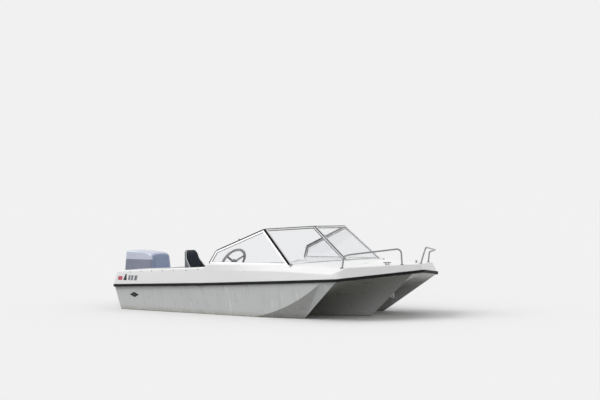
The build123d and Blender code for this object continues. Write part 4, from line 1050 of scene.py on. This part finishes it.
def cowl_lid(x, y):
    """Height of the cowl's top."""
    return (COWL_TOP - (COWL_CROWN - sqrt(COWL_CROWN ** 2 - (x - COWL_CREST) ** 2))
            - COWL_DROP * (y / COWL_HALF) ** 2)


def cowl_column(foot):
    """The points above one point of the foot: up the wall, over the shoulder and in along the lid."""
    out = (foot - COWL_MIDDLE).normalized()
    ahead = max(0.0, min(1.0, (foot.x - (COWL_FORE - FORE_BLEND)) / FORE_BLEND))
    behind = max(0.0, min(1.0, ((COWL_AFT + AFT_BLEND) - foot.x) / AFT_BLEND))
    shoulder = SHOULDER_SIDE + (SHOULDER_FORE - SHOULDER_SIDE) * ahead ** 2
    shoulder += (SHOULDER_AFT - SHOULDER_SIDE) * behind ** 2
    top = foot - out * COWL_LEAN * (COWL_TOP - COWL_LOW)
    wall_top = cowl_lid(top.x, top.y) - shoulder
    column = []
    for i in range(WALL_ROWS):
        z = COWL_LOW + (wall_top - COWL_LOW) * i / (WALL_ROWS - 1)
        groove = exp(-((z - BAND_HEIGHT) / BAND_WIDTH) ** 2) * BAND_GROOVE
        p = foot - out * (COWL_LEAN * (z - COWL_LOW) + groove)
        column.append((p.x, p.y, z))
    start = foot - out * COWL_LEAN * (wall_top - COWL_LOW)
    run = (start - COWL_MIDDLE).length
    steps = []
    for i in range(SHOULDER_ROWS):
        turn = radians(90 * (i + 1) / SHOULDER_ROWS)
        steps.append((shoulder * (1 - cos(turn)), shoulder * sin(turn)))
    for i in range(LID_ROWS):
        share = (i + 1) / (LID_ROWS + 1)
        inward = shoulder + (run - shoulder) * (1 - (1 - share) ** LID_EASE) * LID_REACH
        steps.append((inward, shoulder))
    for inward, rise in steps:
        p = start - out * inward
        blend = min(1.0, inward / shoulder)
        z = wall_top * (1 - blend) + (cowl_lid(p.x, p.y) - shoulder) * blend + rise
        column.append((p.x, p.y, z))
    return column


def make_cowl():
    """The cowl's cover as one shell: walls that lean in, soft shoulders and a crowned lid."""
    form = bmesh.new()
    columns = [[form.verts.new(p) for p in cowl_column(foot)] for foot in cowl_outline()]
    peak = form.verts.new((COWL_MIDDLE.x, 0, cowl_lid(COWL_MIDDLE.x, 0)))
    join_rings(form, [list(row) for row in zip(*columns)] + [[peak]])
    mesh = bpy.data.meshes.new("cowl_cover")
    form.to_mesh(mesh)
    form.free()
    piece = add_piece("cowl_cover", mesh, "cowl_plastic", "motor")
    thick = piece.modifiers.new("wall", "SOLIDIFY")
    thick.thickness, thick.offset = COWL_WALL, -1
    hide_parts("cowl_upper")
    return piece


SEAL_Z = 0.4702
SEAL_CUTS = [(0, 0.07), (0.02, 0.02), (0.07, 0)]    # how a corner of its line is cut, along x and y
SEAL_STEP = 0.012
SEAL_RADIUS = 2.6
SLATS, SLAT_LOW, SLAT_PITCH = 6, 0.690, 0.018
CATCH_Z = 0.440
LEG_BOLTS = [(-0.235, 0.325), (-0.40, 0.325), (-0.235, -0.25), (-0.40, -0.25)]    # x, z
INLET_XS, INLET_TOP, INLET_PITCH, INLET_ROWS = (-0.26, -0.31), -0.385, 0.014, 4
TAB_AT = (-0.512, 0, -0.283)
TUBE_END = (-0.012, 0.1125, 0.272)


def make_seal(cowl):
    """The rubber seal round the cowl's foot."""
    line = []
    for x, aft, side, cuts in ((COWL_AFT, 1, -1, SEAL_CUTS), (COWL_FORE, -1, -1, SEAL_CUTS[::-1]),
                               (COWL_FORE, -1, 1, SEAL_CUTS), (COWL_AFT, 1, 1, SEAL_CUTS[::-1])):
        line += [Vector((x + aft * dx, side * (COWL_HALF - dy), SEAL_Z)) for dx, dy in cuts]
    near = [cowl.find_nearest(p)[0] for p in resampled(line, SEAL_STEP, closed=True)]
    near = smoothed([Vector((p.x, p.y, SEAL_Z)) for p in near], 2, closed=True)
    lay_tube("cowl_seal", near, SEAL_RADIUS, 8, "rail_rubber", "motor", closed=True)


def make_motor_trim(cowl):
    """The cowl's air slats and catch, the leg's bolts, the water inlets, the trim tab and tube nuts."""
    slats = [laid(rounded_box((190 - 6 * i, 7, 7), 2.4), cowl, (-1.2, 0, SLAT_LOW + SLAT_PITCH * i), -AFT, 2)
             for i in range(SLATS)]
    gather("cowl_air_slats", slats, "motor_paint_dark", "motor")
    plate, place = laid(rounded_box((62, 24, 5), 2), surface_of("cowl_lower"), (0.4, 0, CATCH_Z), AFT)
    catch = [(plate, place), (rounded_box((48, 15, 11), 4), place @ moved(0, -2, 2))]
    gather("cowl_catch", catch, "motor_paint_dark", "motor")
    leg, gear = surface_of("leg_housing"), surface_of("gearcase")
    bolts, inlets = [], []
    for _, sign in SIDES:
        bolts += [laid(hexagon(13, 6, 10.5), leg, (x, sign * 0.5, z), (0, -sign, 0)) for x, z in LEG_BOLTS]
        for i in range(INLET_ROWS):
            for x in INLET_XS:
                spot = (x, sign * 0.4, INLET_TOP - INLET_PITCH * i)
                inlets.append(laid(rounded_box((30, 5, 3), 1.4), gear, spot, (0, -sign, 0), 1.2))
    gather("leg_bolts", bolts, "stainless", "motor")
    gather("water_inlets", inlets, "motor_paint_dark", "motor")
    gather("trim_tab", [(rounded_box((42, 9, 30), 3), at(TAB_AT, DOWN))], "engine_metal", "motor")
    x, y, z = TUBE_END
    nuts = [(hexagon(44, 9, 25), at((x, y * sign, z), (0, sign, 0))) for _, sign in SIDES]
    gather("tilt_tube_nuts", nuts, "stainless")


make_studs()
make_marks()
make_screen_trim()
make_screen_rubber()
make_post_feet()
make_foredeck_screws()
make_rail_insert()
make_seat_rim()
make_gauges()
make_switches()
make_wheel_trim()
cover = tree_of(make_cowl().data)
make_seal(cover)
make_motor_trim(cover)

# Light: an even sky, brighter towards the horizon, and a broad lamp from aft and starboard
SKY_LOW, SKY_HIGH = 0.95, 0.80
LAMP_FROM = Vector((-0.50, -0.62, 0.78))
LAMP_STRENGTH = 1.15
LAMP_ANGLE = radians(50)
BACKDROP = 0.88
FLOOR_SIZE = 400.0
FLOOR_PALE, FLOOR_DIM = 0.82, 0.13    # as the camera sees it, and as it lights the boat


def make_sky():
    world = bpy.data.worlds.new("sky")
    bpy.context.scene.world = world
    world.use_nodes = True
    tree = world.node_tree
    place = add_node(tree, "TexCoord").outputs["Generated"]
    upward = add_node(tree, "SeparateXYZ", {0: place}).outputs["Z"]
    ramp = add_node(tree, "MapRange", {"Value": upward, "From Max": 0.6, "To Min": SKY_LOW,
                                       "To Max": SKY_HIGH})
    light = tree.nodes["Background"]
    light.inputs["Color"].default_value = (1, 1, 1, 1)
    tree.links.new(ramp.outputs["Result"], light.inputs["Strength"])
    plain = add_node(tree, "Background", {"Color": (BACKDROP, BACKDROP, BACKDROP, 1)})
    seen = add_node(tree, "LightPath").outputs["Is Camera Ray"]
    mix_shaders(tree, "World Output", seen, light, plain)


def make_lamp():
    data = bpy.data.lights.new("lamp", "SUN")
    data.energy, data.angle = LAMP_STRENGTH, LAMP_ANGLE
    lamp = bpy.data.objects.new("lamp", data)
    lamp.rotation_mode = "QUATERNION"
    lamp.rotation_quaternion = LAMP_FROM.to_track_quat("Z", "Y")
    bpy.context.scene.collection.objects.link(lamp)


def floor_finish():
    """Pale to the camera and in reflections, dim as a source of light, like water."""
    material = bpy.data.materials.new("floor")
    material.use_nodes = True
    tree = material.node_tree
    tree.nodes.remove(tree.nodes["Principled BSDF"])
    dim, pale = (add_node(tree, "BsdfDiffuse", {"Color": (shade, shade, shade, 1)})
                 for shade in (FLOOR_DIM, FLOOR_PALE))
    path = add_node(tree, "LightPath").outputs
    seen = path["Is Camera Ray"]
    for other in ("Is Glossy Ray", "Is Transmission Ray"):
        seen = add_node(tree, "Math", {0: seen, 1: path[other]}, operation="MAXIMUM").outputs[0]
    mix_shaders(tree, "Material Output", seen, dim, pale)
    return material


def make_floor():
    half = FLOOR_SIZE / 2
    mesh = bpy.data.meshes.new("floor")
    corners = [(-half, -half, 0), (half, -half, 0), (half, half, 0), (-half, half, 0)]
    mesh.from_pydata(corners, [], [(0, 1, 2, 3)])
    mesh.materials.append(floor_finish())
    floor = bpy.data.objects.new("floor", mesh)
    bpy.context.scene.collection.objects.link(floor)


make_camera()
make_sky()
make_lamp()
make_floor()
bpy.context.scene.view_settings.view_transform = "Standard"
